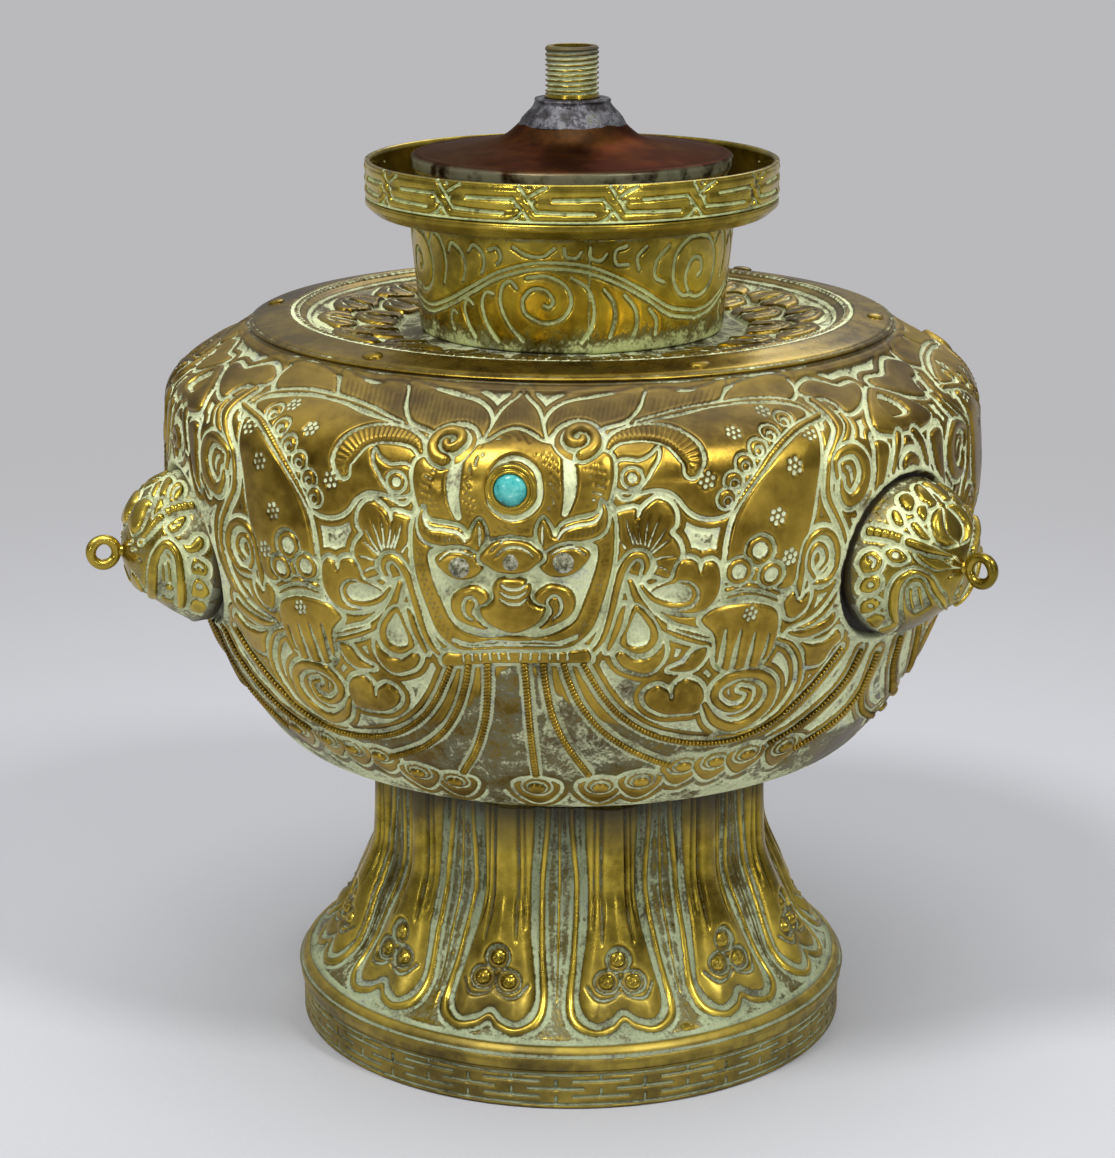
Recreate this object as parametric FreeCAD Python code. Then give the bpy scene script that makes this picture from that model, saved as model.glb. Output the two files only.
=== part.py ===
# A Himalayan repousse brass vase, later fitted as a lamp base.
# Millimetres, +Z up. The origin is the middle of the foot's underside. The front mask faces -Y.
import FreeCAD
import Part
import math
import os

from FreeCAD import Rotation, Vector

# Fits that the pieces share, and the sides of every hammered round
SEAT_GAP = 0.05
LIFT_GAP = 0.05
OVERRUN = 6.0
SIDES = 48

# Foot
FOOT_HEIGHT = 53.9
FOOT_WALL = 1.2
FOOT_LIP_RADIUS = 55.0
FOOT_LIP_HEIGHT = 1.3
FOOT_WAIST_RADIUS = 37.0
FOOT_BORE_RADIUS = 30.0
PETAL_COUNT = 12
PETAL_TURN_SHARE = 0.14
PETAL_RELIEF = 2.2
PETAL_EDGE_RELIEF = 1.6
BAND_SETBACK = 0.6
BAND_WALL = 1.6
BAND_HEIGHT = 7.8

# Vessel
BODY_RADIUS = 78.9
BODY_HEIGHT = 87.0
BODY_WALL = 1.2
BODY_FLANGE_WIDTH = 8.9
BODY_COURSE = 10.4
BODY_RELIEF = 0.9
CAVITY_SIDES = 28

# Plate on the shoulder
PLATE_WALL = 1.1
PLATE_CROWN_RISE = 1.4
PLATE_RING_WIDTH = 9.1
PLATE_STEP = 0.9
PLATE_STEP_WIDTH = 1.5
PLATE_SINK = 3.4
PLATE_SEAT_RADIUS = 32.0
PLATE_LOBE_RISE = 0.6
COLLAR_HEIGHT = 4.2
COLLAR_WALL = 1.1
COLLAR_FIT = 0.15
RIVET_COUNT = 6
RIVET_PLACE_SHARE = 0.36
RIVET_RADIUS = 1.7
RIVET_HEIGHT = 0.7
RIVET_CROWN_SHARE = 0.6

# Neck and rim
NECK_BOTTOM_RADIUS = 29.1
NECK_TOP_RADIUS = 31.1
NECK_HEIGHT = 21.5
NECK_WALL = 1.0
TRAY_BORE_RADIUS = 27.2
TRAY_WALL = 1.2
TRAY_RISE = 3.2
TRAY_LIP = 1.8
RIM_RADIUS = 39.5
RIM_WALL = 1.3
RIM_HEIGHT = 6.4
BEAD_HEIGHT = 1.8
BEAD_INSET = 0.5

# Lamp cap
CAP_RADIUS = 29.9
CAP_WALL = 0.9
CAP_ROLL_HEIGHT = 2.4
CAP_ROLL_PROUD = 0.7
CAP_SKIRT_HEIGHT = 8.3
CAP_PLATE_RISE = 2.2
CAP_CONE_RADIUS = 14.0
CAP_CONE_RISE = 5.4
SOLDER_RADIUS = 8.6
SOLDER_TOP_RADIUS = 7.0
SOLDER_HEIGHT = 2.5
NIPPLE_RADIUS = 5.15
NIPPLE_HEIGHT = 9.7
NIPPLE_TAIL_RADIUS = 4.7
NIPPLE_TAIL = 5.0
NIPPLE_BORE_RADIUS = 3.5
NIPPLE_CHAMFER = 0.6

# Beast heads between the masks
HEAD_HALF_WIDTH = 15.6
HEAD_HALF_HEIGHT = 14.4
HEAD_DEPTH = 12.6
HEAD_INSET = 8.0
HEAD_WALL = 1.2
HEAD_GAP = 0.3
HEAD_SIDES = 12
BROW_RADIUS = 1.5
CHEEK_RADIUS = 1.5
RIDGE_SIDES = 6
LOOP_EYE_RADIUS = 1.8
LOOP_WIRE_RADIUS = 0.85
LOOP_SHANK_RADIUS = 0.9
LOOP_SHANK_LENGTH = 1.2
LOOP_SIDES = 12
WIRE_SIDES = 6

# Stones of the masks
STONE_SIDES = 12
STONE_RADIUS = 2.9
STONE_HEIGHT = 1.9
STONE_DOME = 0.9
DOME_SHARE = 0.6
STONE_LEVEL = 125.6
BEZEL_WALL = 0.8
BEZEL_HEIGHT = 1.4
EYE_RADIUS = 1.9
EYE_HEIGHT = 0.9
EYE_LEVEL = 112.2
EYE_SPREAD = 8.9
THIRD_EYE_LIFT = 1.2

# Sizes and levels that follow
BAND_RADIUS = FOOT_LIP_RADIUS - BAND_SETBACK
BODY_TOP = FOOT_HEIGHT + BODY_HEIGHT
PLATE_CROWN = BODY_TOP + SEAT_GAP + PLATE_CROWN_RISE + PLATE_WALL
PLATE_SEAT = PLATE_CROWN - PLATE_STEP - PLATE_SINK
NECK_FOOT = PLATE_SEAT + LIFT_GAP
NECK_TOP = NECK_FOOT + NECK_HEIGHT
TRAY_FLOOR = NECK_TOP + TRAY_WALL
TRAY_EDGE = TRAY_FLOOR + TRAY_RISE
CAP_FOOT = TRAY_FLOOR + LIFT_GAP
CAP_ROLL = CAP_FOOT + CAP_SKIRT_HEIGHT
CAP_EDGE = CAP_ROLL + CAP_ROLL_HEIGHT
CAP_TOP = CAP_EDGE + CAP_PLATE_RISE + CAP_CONE_RISE
SOLDER_TOP = CAP_TOP + SOLDER_HEIGHT
NIPPLE_TOP = SOLDER_TOP + NIPPLE_HEIGHT

# Azimuths from the front in degrees, to the right positive. Heads also have the share of the
# vessel's height at which they sit: they were set by hand and differ a little.
MASKS = (("front", 0.0), ("right", 120.0), ("left", -120.0))
HEAD_PLACE_SHARES = (("left", -62.0, 0.557), ("right", 58.0, 0.603), ("rear", 180.0, 0.580))

# Vessel outline from foot to shoulder: shares of its height and of its radius. Each arc runs
# through three of them and ends where the next begins.
BODY_SHARES = (
    (0.0, 0.459),
    (0.038, 0.592),
    (0.079, 0.720),
    (0.160, 0.800),
    (0.261, 0.867),
    (0.390, 0.926),
    (0.524, 0.971),
    (0.679, 0.999),
    (0.829, 0.994),
    (0.888, 0.966),
    (0.928, 0.910),
    (0.962, 0.845),
    (1.0, 0.779),
)

# Chased relief of the vessel, ring by ring from the foot up: how far each place stands out of
# the ground as a share of the relief, from the middle of a mask to the middle between two masks
RELIEF_SHARES = (
    (1.0, 1.0, 1.0, 1.0, 1.0, 1.0, 1.0, 1.0, 1.0),
    (0.5, 0.5, 0.5, 0.5, 0.5, 0.5, 0.5, 0.5, 0.5),
    (0.3, 0.3, 0.3, 0.3, 0.3, 0.3, 0.3, 0.3, 0.3),
    (0.3, 0.4, 0.3, 0.4, 0.3, 0.4, 0.3, 0.4, 0.3),
    (0.6, 0.3, 0.5, 0.3, 0.6, 0.3, 0.5, 0.3, 0.5),
    (0.3, 0.2, 0.2, 0.3, 0.7, 0.5, 0.3, 0.2, 0.3),
    (0.3, 0.2, 0.2, 0.9, 0.8, 0.6, 0.3, 0.2, 0.3),
    (0.6, 0.5, 0.2, 0.5, 1.0, 0.5, 0.7, 0.4, 0.6),
    (1.0, 0.8, 0.2, 0.4, 1.0, 0.8, 0.3, 0.4, 0.6),
    (1.0, 1.0, 0.5, 0.9, 0.7, 0.9, 0.5, 0.4, 0.6),
    (1.0, 1.0, 0.9, 0.2, 1.0, 1.0, 0.3, 0.4, 0.6),
    (1.0, 1.0, 0.3, 0.9, 0.8, 1.0, 0.3, 0.5, 0.4),
    (1.0, 0.9, 0.3, 0.9, 0.9, 0.8, 0.3, 0.3, 0.8),
    (0.9, 0.8, 0.6, 0.8, 1.0, 0.8, 0.5, 0.6, 0.9),
    (0.9, 0.7, 0.9, 0.8, 0.7, 0.8, 0.7, 0.8, 0.6),
    (1.0, 1.0, 1.0, 1.0, 1.0, 1.0, 1.0, 1.0, 1.0),
)

# Radii that the shoulder plate and the vessel's flange under it take from that outline
SHOULDER_RADIUS = BODY_RADIUS * BODY_SHARES[-1][1]
PLATE_CROWN_RADIUS = SHOULDER_RADIUS - PLATE_RING_WIDTH
BODY_MOUTH_RADIUS = SHOULDER_RADIUS - BODY_FLANGE_WIDTH
RIVET_CIRCLE_RADIUS = SHOULDER_RADIUS - PLATE_RING_WIDTH * RIVET_PLACE_SHARE

# Foot outline from the band up: share of the height, share of the way out from waist to lip,
# and shares of the relief that a petal's panel, its edges and its middle line have there. The
# notch of its heart-shaped foot is where the middle line has none.
FOOT_SHARES = (
    (0.0, 1.0, 0.0, 0.0, 0.0),
    (0.04, 0.94, 0.0, 0.0, 0.0),
    (0.085, 0.82, 0.7, 1.0, 0.1),
    (0.14, 0.66, 0.8, 1.0, 0.6),
    (0.22, 0.47, 0.9, 1.0, 1.0),
    (0.40, 0.26, 1.0, 1.0, 1.0),
    (0.65, 0.04, 1.0, 1.0, 1.0),
    (1.0, 0.0, 0.7, 0.7, 0.7),
)

# Points of a petal across its pitch: place, share of panel relief, of edge relief, of middle
PETAL_SHARES = (
    (0.0, 0.0, 0.0, 0.0),
    (0.09, 0.0, 1.0, 0.0),
    (0.19, 0.0, 0.3, 0.0),
    (0.33, 0.8, 0.0, 0.0),
    (0.50, 0.0, 0.0, 1.0),
    (0.67, 0.8, 0.0, 0.0),
    (0.81, 0.0, 0.3, 0.0),
    (0.91, 0.0, 1.0, 0.0),
)

# Sections of a head: depth share from the wall to the snout, shares of the half height up to
# the crown and down to the chin, and share of the half width
HEAD_SHARES = (
    (0.0, 1.0, -1.0, 1.0),
    (0.34, 0.92, -0.82, 0.92),
    (0.66, 0.72, -0.62, 0.74),
    (0.88, 0.44, -0.48, 0.48),
    (1.0, 0.18, -0.20, 0.20),
)

# Ridges on one side of a head, as depth, width and height shares of their turning points
BROW_SHARES = ((0.94, 0.22, 0.20), (0.76, 0.56, 0.36), (0.46, 0.80, 0.44), (0.14, 0.92, 0.40))
CHEEK_SHARES = (
    (0.62, 0.54, -0.58),
    (0.84, 0.42, -0.22),
    (0.72, 0.62, 0.00),
    (0.46, 0.82, -0.14),
    (0.34, 0.78, -0.50),
)


# Points and edges in the plane of radius and height
def at(radius, height):
    return Vector(radius, 0, height)


def polygon(radius, level, sides=SIDES):
    turns = [2 * math.pi * i / sides for i in range(sides)]
    return [Vector(radius * math.cos(t), radius * math.sin(t), level) for t in turns]


def facet(corners):
    return Part.Face(Part.makePolygon(corners + corners[:1]))


def solid_of(faces):
    shell = Part.makeShell(faces)
    shell.sewShape()
    solid = Part.makeSolid(shell)
    if solid.Volume < 0:
        solid.reverse()
    return solid


def between(low, high):
    """Flat facets from one ring of points to the next, which has as many."""
    faces = []
    for i in range(len(low)):
        a, b, c, d = low[i - 1], low[i], high[i], high[i - 1]
        faces += [facet([a, b, c]), facet([a, c, d])]
    return faces


def turned(points, sides=SIDES):
    """A closed outline carried round the Z axis in flat hammered facets. A ready ring may stand
    in the outline for a point."""
    faces = []
    for a, b in zip(points, points[1:] + points[:1]):
        if isinstance(a, list) or isinstance(b, list):
            rings = [p if isinstance(p, list) else polygon(p.x, p.z, sides) for p in (a, b)]
            faces += between(*rings)
            continue
        low, high = polygon(a.x, a.z, sides), polygon(b.x, b.z, sides)
        if a.x == 0 or b.x == 0:
            if a.x != b.x:
                faces.append(facet(low if a.x else high))
        elif a.z == b.z:
            wide, narrow = (low, high) if a.x > b.x else (high, low)
            faces += facet(wide).cut(facet(narrow)).Faces
        else:
            faces += [facet([low[i - 1], low[i], high[i], high[i - 1]]) for i in range(sides)]
    return solid_of(faces)


def skin(rings):
    """A solid of flat facets over a row of outlines that have as many points each."""
    faces = [facet(rings[0]), facet(rings[-1])]
    for low, high in zip(rings, rings[1:]):
        faces += between(low, high)
    return solid_of(faces)


def lathe(points):
    """Turns a closed outline about the Z axis, truly round."""
    face = Part.Face(Part.makePolygon(points + points[:1]))
    return face.revolve(Vector(0, 0, 0), Vector(0, 0, 1), 360)


def placed(shape, azimuth, radius, level):
    """Moves a shape made along +X to the wall, its X outwards and its Z up."""
    turn = math.radians(azimuth)
    out = Vector(math.sin(turn), -math.cos(turn), 0)
    up = Vector(0, 0, 1)
    moved = shape.copy()
    seat = FreeCAD.Placement(out * radius + up * level, Rotation(out, up.cross(out), up, "XYZ"))
    moved.Placement = seat.multiply(shape.Placement)
    return moved


# Foot
def foot_radius(share):
    return FOOT_WAIST_RADIUS + (FOOT_LIP_RADIUS - FOOT_WAIST_RADIUS) * share


def foot_level(share):
    return BAND_HEIGHT + FOOT_LIP_HEIGHT + (FOOT_HEIGHT - BAND_HEIGHT - FOOT_LIP_HEIGHT) * share


def petal_ring(level, radius, panel, edge, middle):
    """One level outline of the foot, petal after petal."""
    pitch = 2 * math.pi / PETAL_COUNT
    points = []
    for i in range(PETAL_COUNT):
        for across, panel_share, edge_share, middle_share in PETAL_SHARES:
            swell = PETAL_RELIEF * (panel_share * (panel + middle) / 2 + middle_share * middle)
            out = radius + swell + PETAL_EDGE_RELIEF * edge_share * edge
            angle = (i + across + PETAL_TURN_SHARE) * pitch - math.pi / 2
            points.append(Vector(out * math.cos(angle), out * math.sin(angle), level))
    return points


def foot_shell():
    rings = [petal_ring(BAND_HEIGHT, FOOT_LIP_RADIUS, 0, 0, 0)]
    rings += [petal_ring(foot_level(h), foot_radius(r), *relief) for h, r, *relief in FOOT_SHARES]
    sides = 2 * PETAL_COUNT
    inside = [polygon(FOOT_LIP_RADIUS - 2 * FOOT_WALL, BAND_HEIGHT - OVERRUN, sides)]
    for h, r, *relief in FOOT_SHARES[1:-1]:
        inside.append(polygon(foot_radius(r) - FOOT_WALL, foot_level(h) - FOOT_WALL / 2, sides))
    inside.append(polygon(foot_radius(0) - FOOT_WALL, FOOT_HEIGHT - FOOT_WALL, sides))
    ends = (BAND_HEIGHT, FOOT_HEIGHT + OVERRUN)
    bore = skin([polygon(FOOT_BORE_RADIUS, level, sides) for level in ends])
    return skin(rings).cut(skin(inside)).cut(bore)


def foot_band():
    inside = BAND_RADIUS - BAND_WALL
    outer = [at(BAND_RADIUS, 0), at(BAND_RADIUS, BAND_HEIGHT)]
    return turned([at(inside, 0)] + outer + [at(inside, BAND_HEIGHT)])


# Vessel
def body_points():
    """The vessel's outline: arcs, each broken into the courses in which the sheet was raised."""
    spots = [at(BODY_RADIUS * r, FOOT_HEIGHT + BODY_HEIGHT * h) for h, r in BODY_SHARES]
    points = [spots[0]]
    for i in range(0, len(spots) - 2, 2):
        arc = Part.Arc(spots[i], spots[i + 1], spots[i + 2]).toShape()
        courses = math.ceil(arc.Length / BODY_COURSE)
        points += arc.discretize(courses + 1)[1:]
    return points


def wall_radius(level):
    """Radius of the vessel's outside at a level."""
    points = body_points()
    for low, high in zip(points, points[1:]):
        if low.z <= level <= high.z:
            return low.x + (high.x - low.x) * (level - low.z) / (high.z - low.z)
    return points[-1].x


def shoulder_level(radius):
    """The vessel's flange under the plate, which rises from the shoulder to the crown."""
    return BODY_TOP + PLATE_CROWN_RISE * (SHOULDER_RADIUS - radius) / PLATE_RING_WIDTH


def body_cavity():
    spots = [at(BODY_RADIUS * r, FOOT_HEIGHT + BODY_HEIGHT * h) for h, r in BODY_SHARES[::2]]
    rings = [polygon(spots[0].x, FOOT_HEIGHT + BODY_WALL, CAVITY_SIDES)]
    for before, spot, after in zip(spots, spots[1:], spots[2:]):
        along = (after - before).normalize()
        inner = spot - Vector(along.z, 0, -along.x) * (BODY_WALL + BODY_RELIEF)
        rings.append(polygon(inner.x, inner.z, CAVITY_SIDES))
    rings.append(polygon(spots[-1].x - BODY_WALL, BODY_TOP - BODY_WALL, CAVITY_SIDES))
    return skin(rings)


def head_holes():
    """Openings in the wall for the heads, a clearance larger than the heads."""
    holes = []
    for name, azimuth, share in HEAD_PLACE_SHARES:
        level = FOOT_HEIGHT + BODY_HEIGHT * share
        ends = [head_ring(x, 0, HEAD_GAP) for x in (-HEAD_INSET - OVERRUN, HEAD_DEPTH)]
        holes.append(placed(skin(ends), azimuth, wall_radius(level), level))
    return holes


def relief_ring(point, shares):
    """One ring of the vessel's outside, sunk between the chased shapes, alike for every mask."""
    ring = []
    places = len(shares) - 1
    across = len(MASKS) * 2 * places
    for i in range(SIDES):
        step = round(i * across / SIDES) + across // 4
        place = abs((step + places) % (2 * places) - places)
        ring.append(polygon(point.x - BODY_RELIEF * (1 - shares[place]), point.z)[i])
    return ring


def body_shell():
    points = body_points()
    outer = []
    for i, point in enumerate(points):
        row = round(i * (len(RELIEF_SHARES) - 1) / (len(points) - 1))
        outer.append(relief_ring(point, RELIEF_SHARES[row]))
    mouth = at(BODY_MOUTH_RADIUS, shoulder_level(BODY_MOUTH_RADIUS))
    under = at(BODY_MOUTH_RADIUS, mouth.z - BODY_WALL)
    inner = polygon(points[-1].x - BODY_WALL, BODY_TOP - BODY_WALL)
    rings = outer + [polygon(mouth.x, mouth.z), polygon(under.x, under.z), inner]
    return skin(rings).cut(body_cavity()).cut(Part.makeCompound(head_holes()))


def shoulder_plate():
    edge = SHOULDER_RADIUS
    collar = NECK_BOTTOM_RADIUS - NECK_WALL - COLLAR_FIT
    lip = collar - COLLAR_WALL
    foot = at(PLATE_CROWN_RADIUS - PLATE_STEP_WIDTH, PLATE_CROWN - PLATE_STEP)
    middle = at((foot.x + PLATE_SEAT_RADIUS) / 2, foot.z - PLATE_SINK / 3)
    top = [at(edge, shoulder_level(edge) + SEAT_GAP + PLATE_WALL)]
    lobes = polygon(middle.x, middle.z)
    lobes[::2] = [spot + Vector(0, 0, PLATE_LOBE_RISE) for spot in lobes[::2]]
    top += [at(PLATE_CROWN_RADIUS, PLATE_CROWN), foot, lobes]
    top += [at(PLATE_SEAT_RADIUS, PLATE_SEAT), at(collar, PLATE_SEAT)]
    top += [at(collar, PLATE_SEAT + COLLAR_HEIGHT), at(lip, PLATE_SEAT + COLLAR_HEIGHT)]
    top.append(at(lip, PLATE_SEAT - PLATE_WALL))
    under = [at(PLATE_SEAT_RADIUS, PLATE_SEAT - PLATE_WALL), at(middle.x, middle.z - PLATE_WALL)]
    under += [at(foot.x, foot.z - PLATE_WALL), at(PLATE_CROWN_RADIUS, PLATE_CROWN - PLATE_WALL)]
    return turned(top + under + [at(edge, shoulder_level(edge) + SEAT_GAP)])


def shoulder_rivets():
    """Low heads on the plate's outer ring, half a pitch round from the front."""
    seat = shoulder_level(RIVET_CIRCLE_RADIUS - RIVET_RADIUS) + SEAT_GAP * 2 + PLATE_WALL
    rivets = []
    head = [at(0, 0), at(RIVET_RADIUS, 0), at(RIVET_RADIUS * RIVET_CROWN_SHARE, RIVET_HEIGHT)]
    head.append(at(0, RIVET_HEIGHT))
    for i in range(RIVET_COUNT):
        turn = (i + 1 / 2) * 2 * math.pi / RIVET_COUNT - math.pi / 2
        spot = Vector(math.cos(turn), math.sin(turn), 0) * RIVET_CIRCLE_RADIUS + Vector(0, 0, seat)
        rivets.append(turned(head, STONE_SIDES).translate(spot))
    return Part.makeCompound(rivets)


# Neck and rim
def neck_cup():
    outer = [at(NECK_BOTTOM_RADIUS, NECK_FOOT), at(NECK_TOP_RADIUS, NECK_TOP)]
    inner = [at(point.x - NECK_WALL, point.z) for point in outer[::-1]]
    return turned(outer + inner)


def rim_tray():
    lip = RIM_RADIUS - RIM_WALL + BEAD_INSET
    under = [at(TRAY_BORE_RADIUS, NECK_TOP), at(NECK_TOP_RADIUS, NECK_TOP)]
    under.append(at(lip, TRAY_EDGE - BEAD_HEIGHT))
    over = [at(lip, TRAY_EDGE), at(lip - TRAY_LIP, TRAY_EDGE), at(NECK_TOP_RADIUS, TRAY_FLOOR)]
    return turned(under + over + [at(TRAY_BORE_RADIUS, TRAY_FLOOR)])


def rim_band():
    """The upright band and the bead under it, which laps the tray's lip."""
    inside = RIM_RADIUS - RIM_WALL
    lap = inside + BEAD_INSET + SEAT_GAP
    top = TRAY_EDGE + RIM_HEIGHT
    bead = [at(lap, TRAY_EDGE), at(lap, TRAY_EDGE - BEAD_HEIGHT)]
    bead.append(at(RIM_RADIUS, TRAY_EDGE - BEAD_HEIGHT / 2))
    return turned(bead + [at(RIM_RADIUS, top), at(inside, top), at(inside, TRAY_EDGE)])


# Lamp cap
def cap_level(radius):
    """Height of the cap's steep cone at a radius."""
    hub = NIPPLE_TAIL_RADIUS + SEAT_GAP
    return CAP_TOP - CAP_CONE_RISE * (radius - hub) / (CAP_CONE_RADIUS - hub)


def lamp_cap():
    skirt = CAP_RADIUS - CAP_ROLL_PROUD
    hub = NIPPLE_TAIL_RADIUS + SEAT_GAP
    top = [at(skirt, CAP_EDGE), at(CAP_CONE_RADIUS, CAP_EDGE + CAP_PLATE_RISE), at(hub, CAP_TOP)]
    under = [point - Vector(0, 0, CAP_WALL) for point in top[::-1]]
    under[-1] = at(skirt - CAP_WALL, under[-1].z)
    outside = [at(skirt - CAP_WALL, CAP_FOOT), at(skirt, CAP_FOOT), at(skirt, CAP_ROLL)]
    return turned(outside + [at(CAP_RADIUS, (CAP_ROLL + CAP_EDGE) / 2)] + top + under)


def solder_collar():
    hub = NIPPLE_TAIL_RADIUS + SEAT_GAP
    foot = at(SOLDER_RADIUS, cap_level(SOLDER_RADIUS) + SEAT_GAP)
    waist = at(SOLDER_TOP_RADIUS, (CAP_TOP + SOLDER_TOP) / 2)
    top = [at(SOLDER_TOP_RADIUS, SOLDER_TOP), at(hub, SOLDER_TOP), at(hub, CAP_TOP + SEAT_GAP)]
    return turned([foot, waist] + top, SIDES // 2)


def lamp_nipple():
    shoulder = SOLDER_TOP + SEAT_GAP
    tail = [at(NIPPLE_BORE_RADIUS, CAP_TOP - NIPPLE_TAIL), at(NIPPLE_TAIL_RADIUS, CAP_TOP - NIPPLE_TAIL)]
    tail += [at(NIPPLE_TAIL_RADIUS, shoulder), at(NIPPLE_RADIUS, shoulder)]
    crest = [at(NIPPLE_RADIUS, NIPPLE_TOP - NIPPLE_CHAMFER), at(NIPPLE_RADIUS - NIPPLE_CHAMFER, NIPPLE_TOP)]
    return lathe(tail + crest + [at(NIPPLE_BORE_RADIUS, NIPPLE_TOP)])


# Beast heads
def head_ring(depth, section, grow):
    """An oval section of a head, square to the way it faces."""
    share, top, chin, width = HEAD_SHARES[section]
    middle, half = (top + chin) / 2, (top - chin) / 2
    high, wide = HEAD_HALF_HEIGHT * half + grow, HEAD_HALF_WIDTH * width + grow
    points = []
    for i in range(HEAD_SIDES):
        angle = 2 * math.pi * i / HEAD_SIDES
        level = HEAD_HALF_HEIGHT * middle + high * math.sin(angle)
        points.append(Vector(depth, wide * math.cos(angle), level))
    return points


def ridge(shares, side, radius):
    """A rounded ridge through the points that the shares give, on one side of a head."""
    spots = [Vector(HEAD_DEPTH * d, side * HEAD_HALF_WIDTH * w, HEAD_HALF_HEIGHT * h) for d, w, h in shares]
    rings = []
    for i, spot in enumerate(spots):
        along = (spots[min(i + 1, len(spots) - 1)] - spots[max(i - 1, 0)]).normalize()
        across = along.cross(Vector(1, 0, 0)).normalize()
        lift = across.cross(along)
        turns = [2 * math.pi * k / RIDGE_SIDES for k in range(RIDGE_SIDES)]
        rings.append([spot + (across * math.cos(t) + lift * math.sin(t)) * radius for t in turns])
    return skin(rings)


def boss_head(azimuth, level):
    depths = [HEAD_DEPTH * row[0] for row in HEAD_SHARES]
    outer = [head_ring(-HEAD_INSET, 0, 0)] + [head_ring(x, i, 0) for i, x in enumerate(depths)]
    inner = [head_ring(-HEAD_INSET - OVERRUN, 0, -HEAD_WALL)]
    inner += [head_ring(x - HEAD_WALL, i, -HEAD_WALL) for i, x in enumerate(depths[:-1])]
    head = skin(outer)
    for side in (-1, 1):
        head = head.fuse([ridge(BROW_SHARES, side, BROW_RADIUS), ridge(CHEEK_SHARES, side, CHEEK_RADIUS)])
    return placed(head.cut(skin(inner)), azimuth, wall_radius(level), level)


def boss_loop(azimuth, level):
    """The eye, upright and in line with the snout, and its shank."""
    hub = LOOP_EYE_RADIUS + LOOP_WIRE_RADIUS
    centre = HEAD_DEPTH + SEAT_GAP + LOOP_SHANK_LENGTH + hub
    turns = [2 * math.pi * i / LOOP_SIDES for i in range(LOOP_SIDES // 2 + 1)]
    angles = [2 * math.pi * (k + 1 / 2) / WIRE_SIDES for k in range(WIRE_SIDES)]
    half = []
    for turn in turns:
        out = Vector(math.cos(turn), 0, math.sin(turn))
        wire = [(LOOP_WIRE_RADIUS * math.cos(a), LOOP_WIRE_RADIUS * math.sin(a)) for a in angles]
        half.append([out * (hub + proud) + Vector(0, aside, 0) for proud, aside in wire])
    upper = skin(half)
    lower = upper.copy()
    lower.rotate(Vector(0, 0, 0), Vector(0, 1, 0), 180)
    eye = upper.fuse(lower)
    eye.translate(Vector(centre, 0, 0))
    root = HEAD_DEPTH + SEAT_GAP
    tip = root + LOOP_SHANK_LENGTH + LOOP_WIRE_RADIUS
    rod = [(LOOP_SHANK_RADIUS * math.cos(a), LOOP_SHANK_RADIUS * math.sin(a)) for a in angles]
    shank = skin([[Vector(depth, y, z) for y, z in rod] for depth in (root, tip)])
    return placed(eye.fuse(shank), azimuth, wall_radius(level), level)


# Stones of the masks
def wall_seat(radius, level):
    """Where a flat-backed disc of this radius just clears the wall."""
    return max(wall_radius(level - radius), wall_radius(level), wall_radius(level + radius)) + SEAT_GAP


def set_stone(outline, azimuth, radius, level):
    """Turns a small piece and seats it flat against the wall, facing out."""
    piece = turned(outline, STONE_SIDES)
    piece.rotate(Vector(0, 0, 0), Vector(0, 1, 0), 90)
    return placed(piece, azimuth, wall_seat(radius, level), level)


def stone(azimuth):
    girdle = STONE_HEIGHT - STONE_DOME
    dome = [at(STONE_RADIUS, girdle), at(STONE_RADIUS * DOME_SHARE, STONE_HEIGHT), at(0, STONE_HEIGHT)]
    outline = [at(0, 0), at(STONE_RADIUS, 0)] + dome
    return set_stone(outline, azimuth, STONE_RADIUS + BEZEL_WALL, STONE_LEVEL)


def bezel(azimuth):
    bore = STONE_RADIUS + SEAT_GAP
    rim = bore + BEZEL_WALL
    outline = [at(bore, 0), at(rim, 0), at(rim, BEZEL_HEIGHT), at(bore, BEZEL_HEIGHT)]
    return set_stone(outline, azimuth, STONE_RADIUS + BEZEL_WALL, STONE_LEVEL)


def mask_eyes():
    """Pale stones, three to a mask."""
    outline = [at(0, 0), at(EYE_RADIUS, 0), at(EYE_RADIUS * DOME_SHARE, EYE_HEIGHT)]
    outline.append(at(0, EYE_HEIGHT))
    eyes = []
    for name, azimuth in MASKS:
        for side in (-1, 0, 1):
            level = EYE_LEVEL + THIRD_EYE_LIFT * (1 - abs(side))
            turn = math.degrees(math.asin(side * EYE_SPREAD / wall_radius(level)))
            eyes.append(set_stone(outline, azimuth + turn, EYE_RADIUS, level))
    return Part.makeCompound(eyes)


def build():
    pieces = {
        "foot_shell": foot_shell(),
        "foot_band": foot_band(),
        "body_shell": body_shell(),
        "shoulder_plate": shoulder_plate(),
        "shoulder_rivets": shoulder_rivets(),
        "neck_cup": neck_cup(),
        "rim_tray": rim_tray(),
        "rim_band": rim_band(),
        "lamp_cap": lamp_cap(),
        "solder_collar": solder_collar(),
        "lamp_nipple": lamp_nipple(),
        "mask_eyes": mask_eyes(),
    }
    for name, azimuth, share in HEAD_PLACE_SHARES:
        level = FOOT_HEIGHT + BODY_HEIGHT * share
        pieces["boss_head_" + name] = boss_head(azimuth, level)
        pieces["boss_loop_" + name] = boss_loop(azimuth, level)
    for name, azimuth in MASKS:
        pieces["stone_" + name] = stone(azimuth)
        pieces["bezel_" + name] = bezel(azimuth)
    return pieces


os.makedirs("parts", exist_ok=True)
for name, shape in build().items():
    print(name, shape.isValid(), len(shape.Solids), round(shape.Volume, 1))
    shape.exportStep("parts/" + name + ".step")
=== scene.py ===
import math

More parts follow.
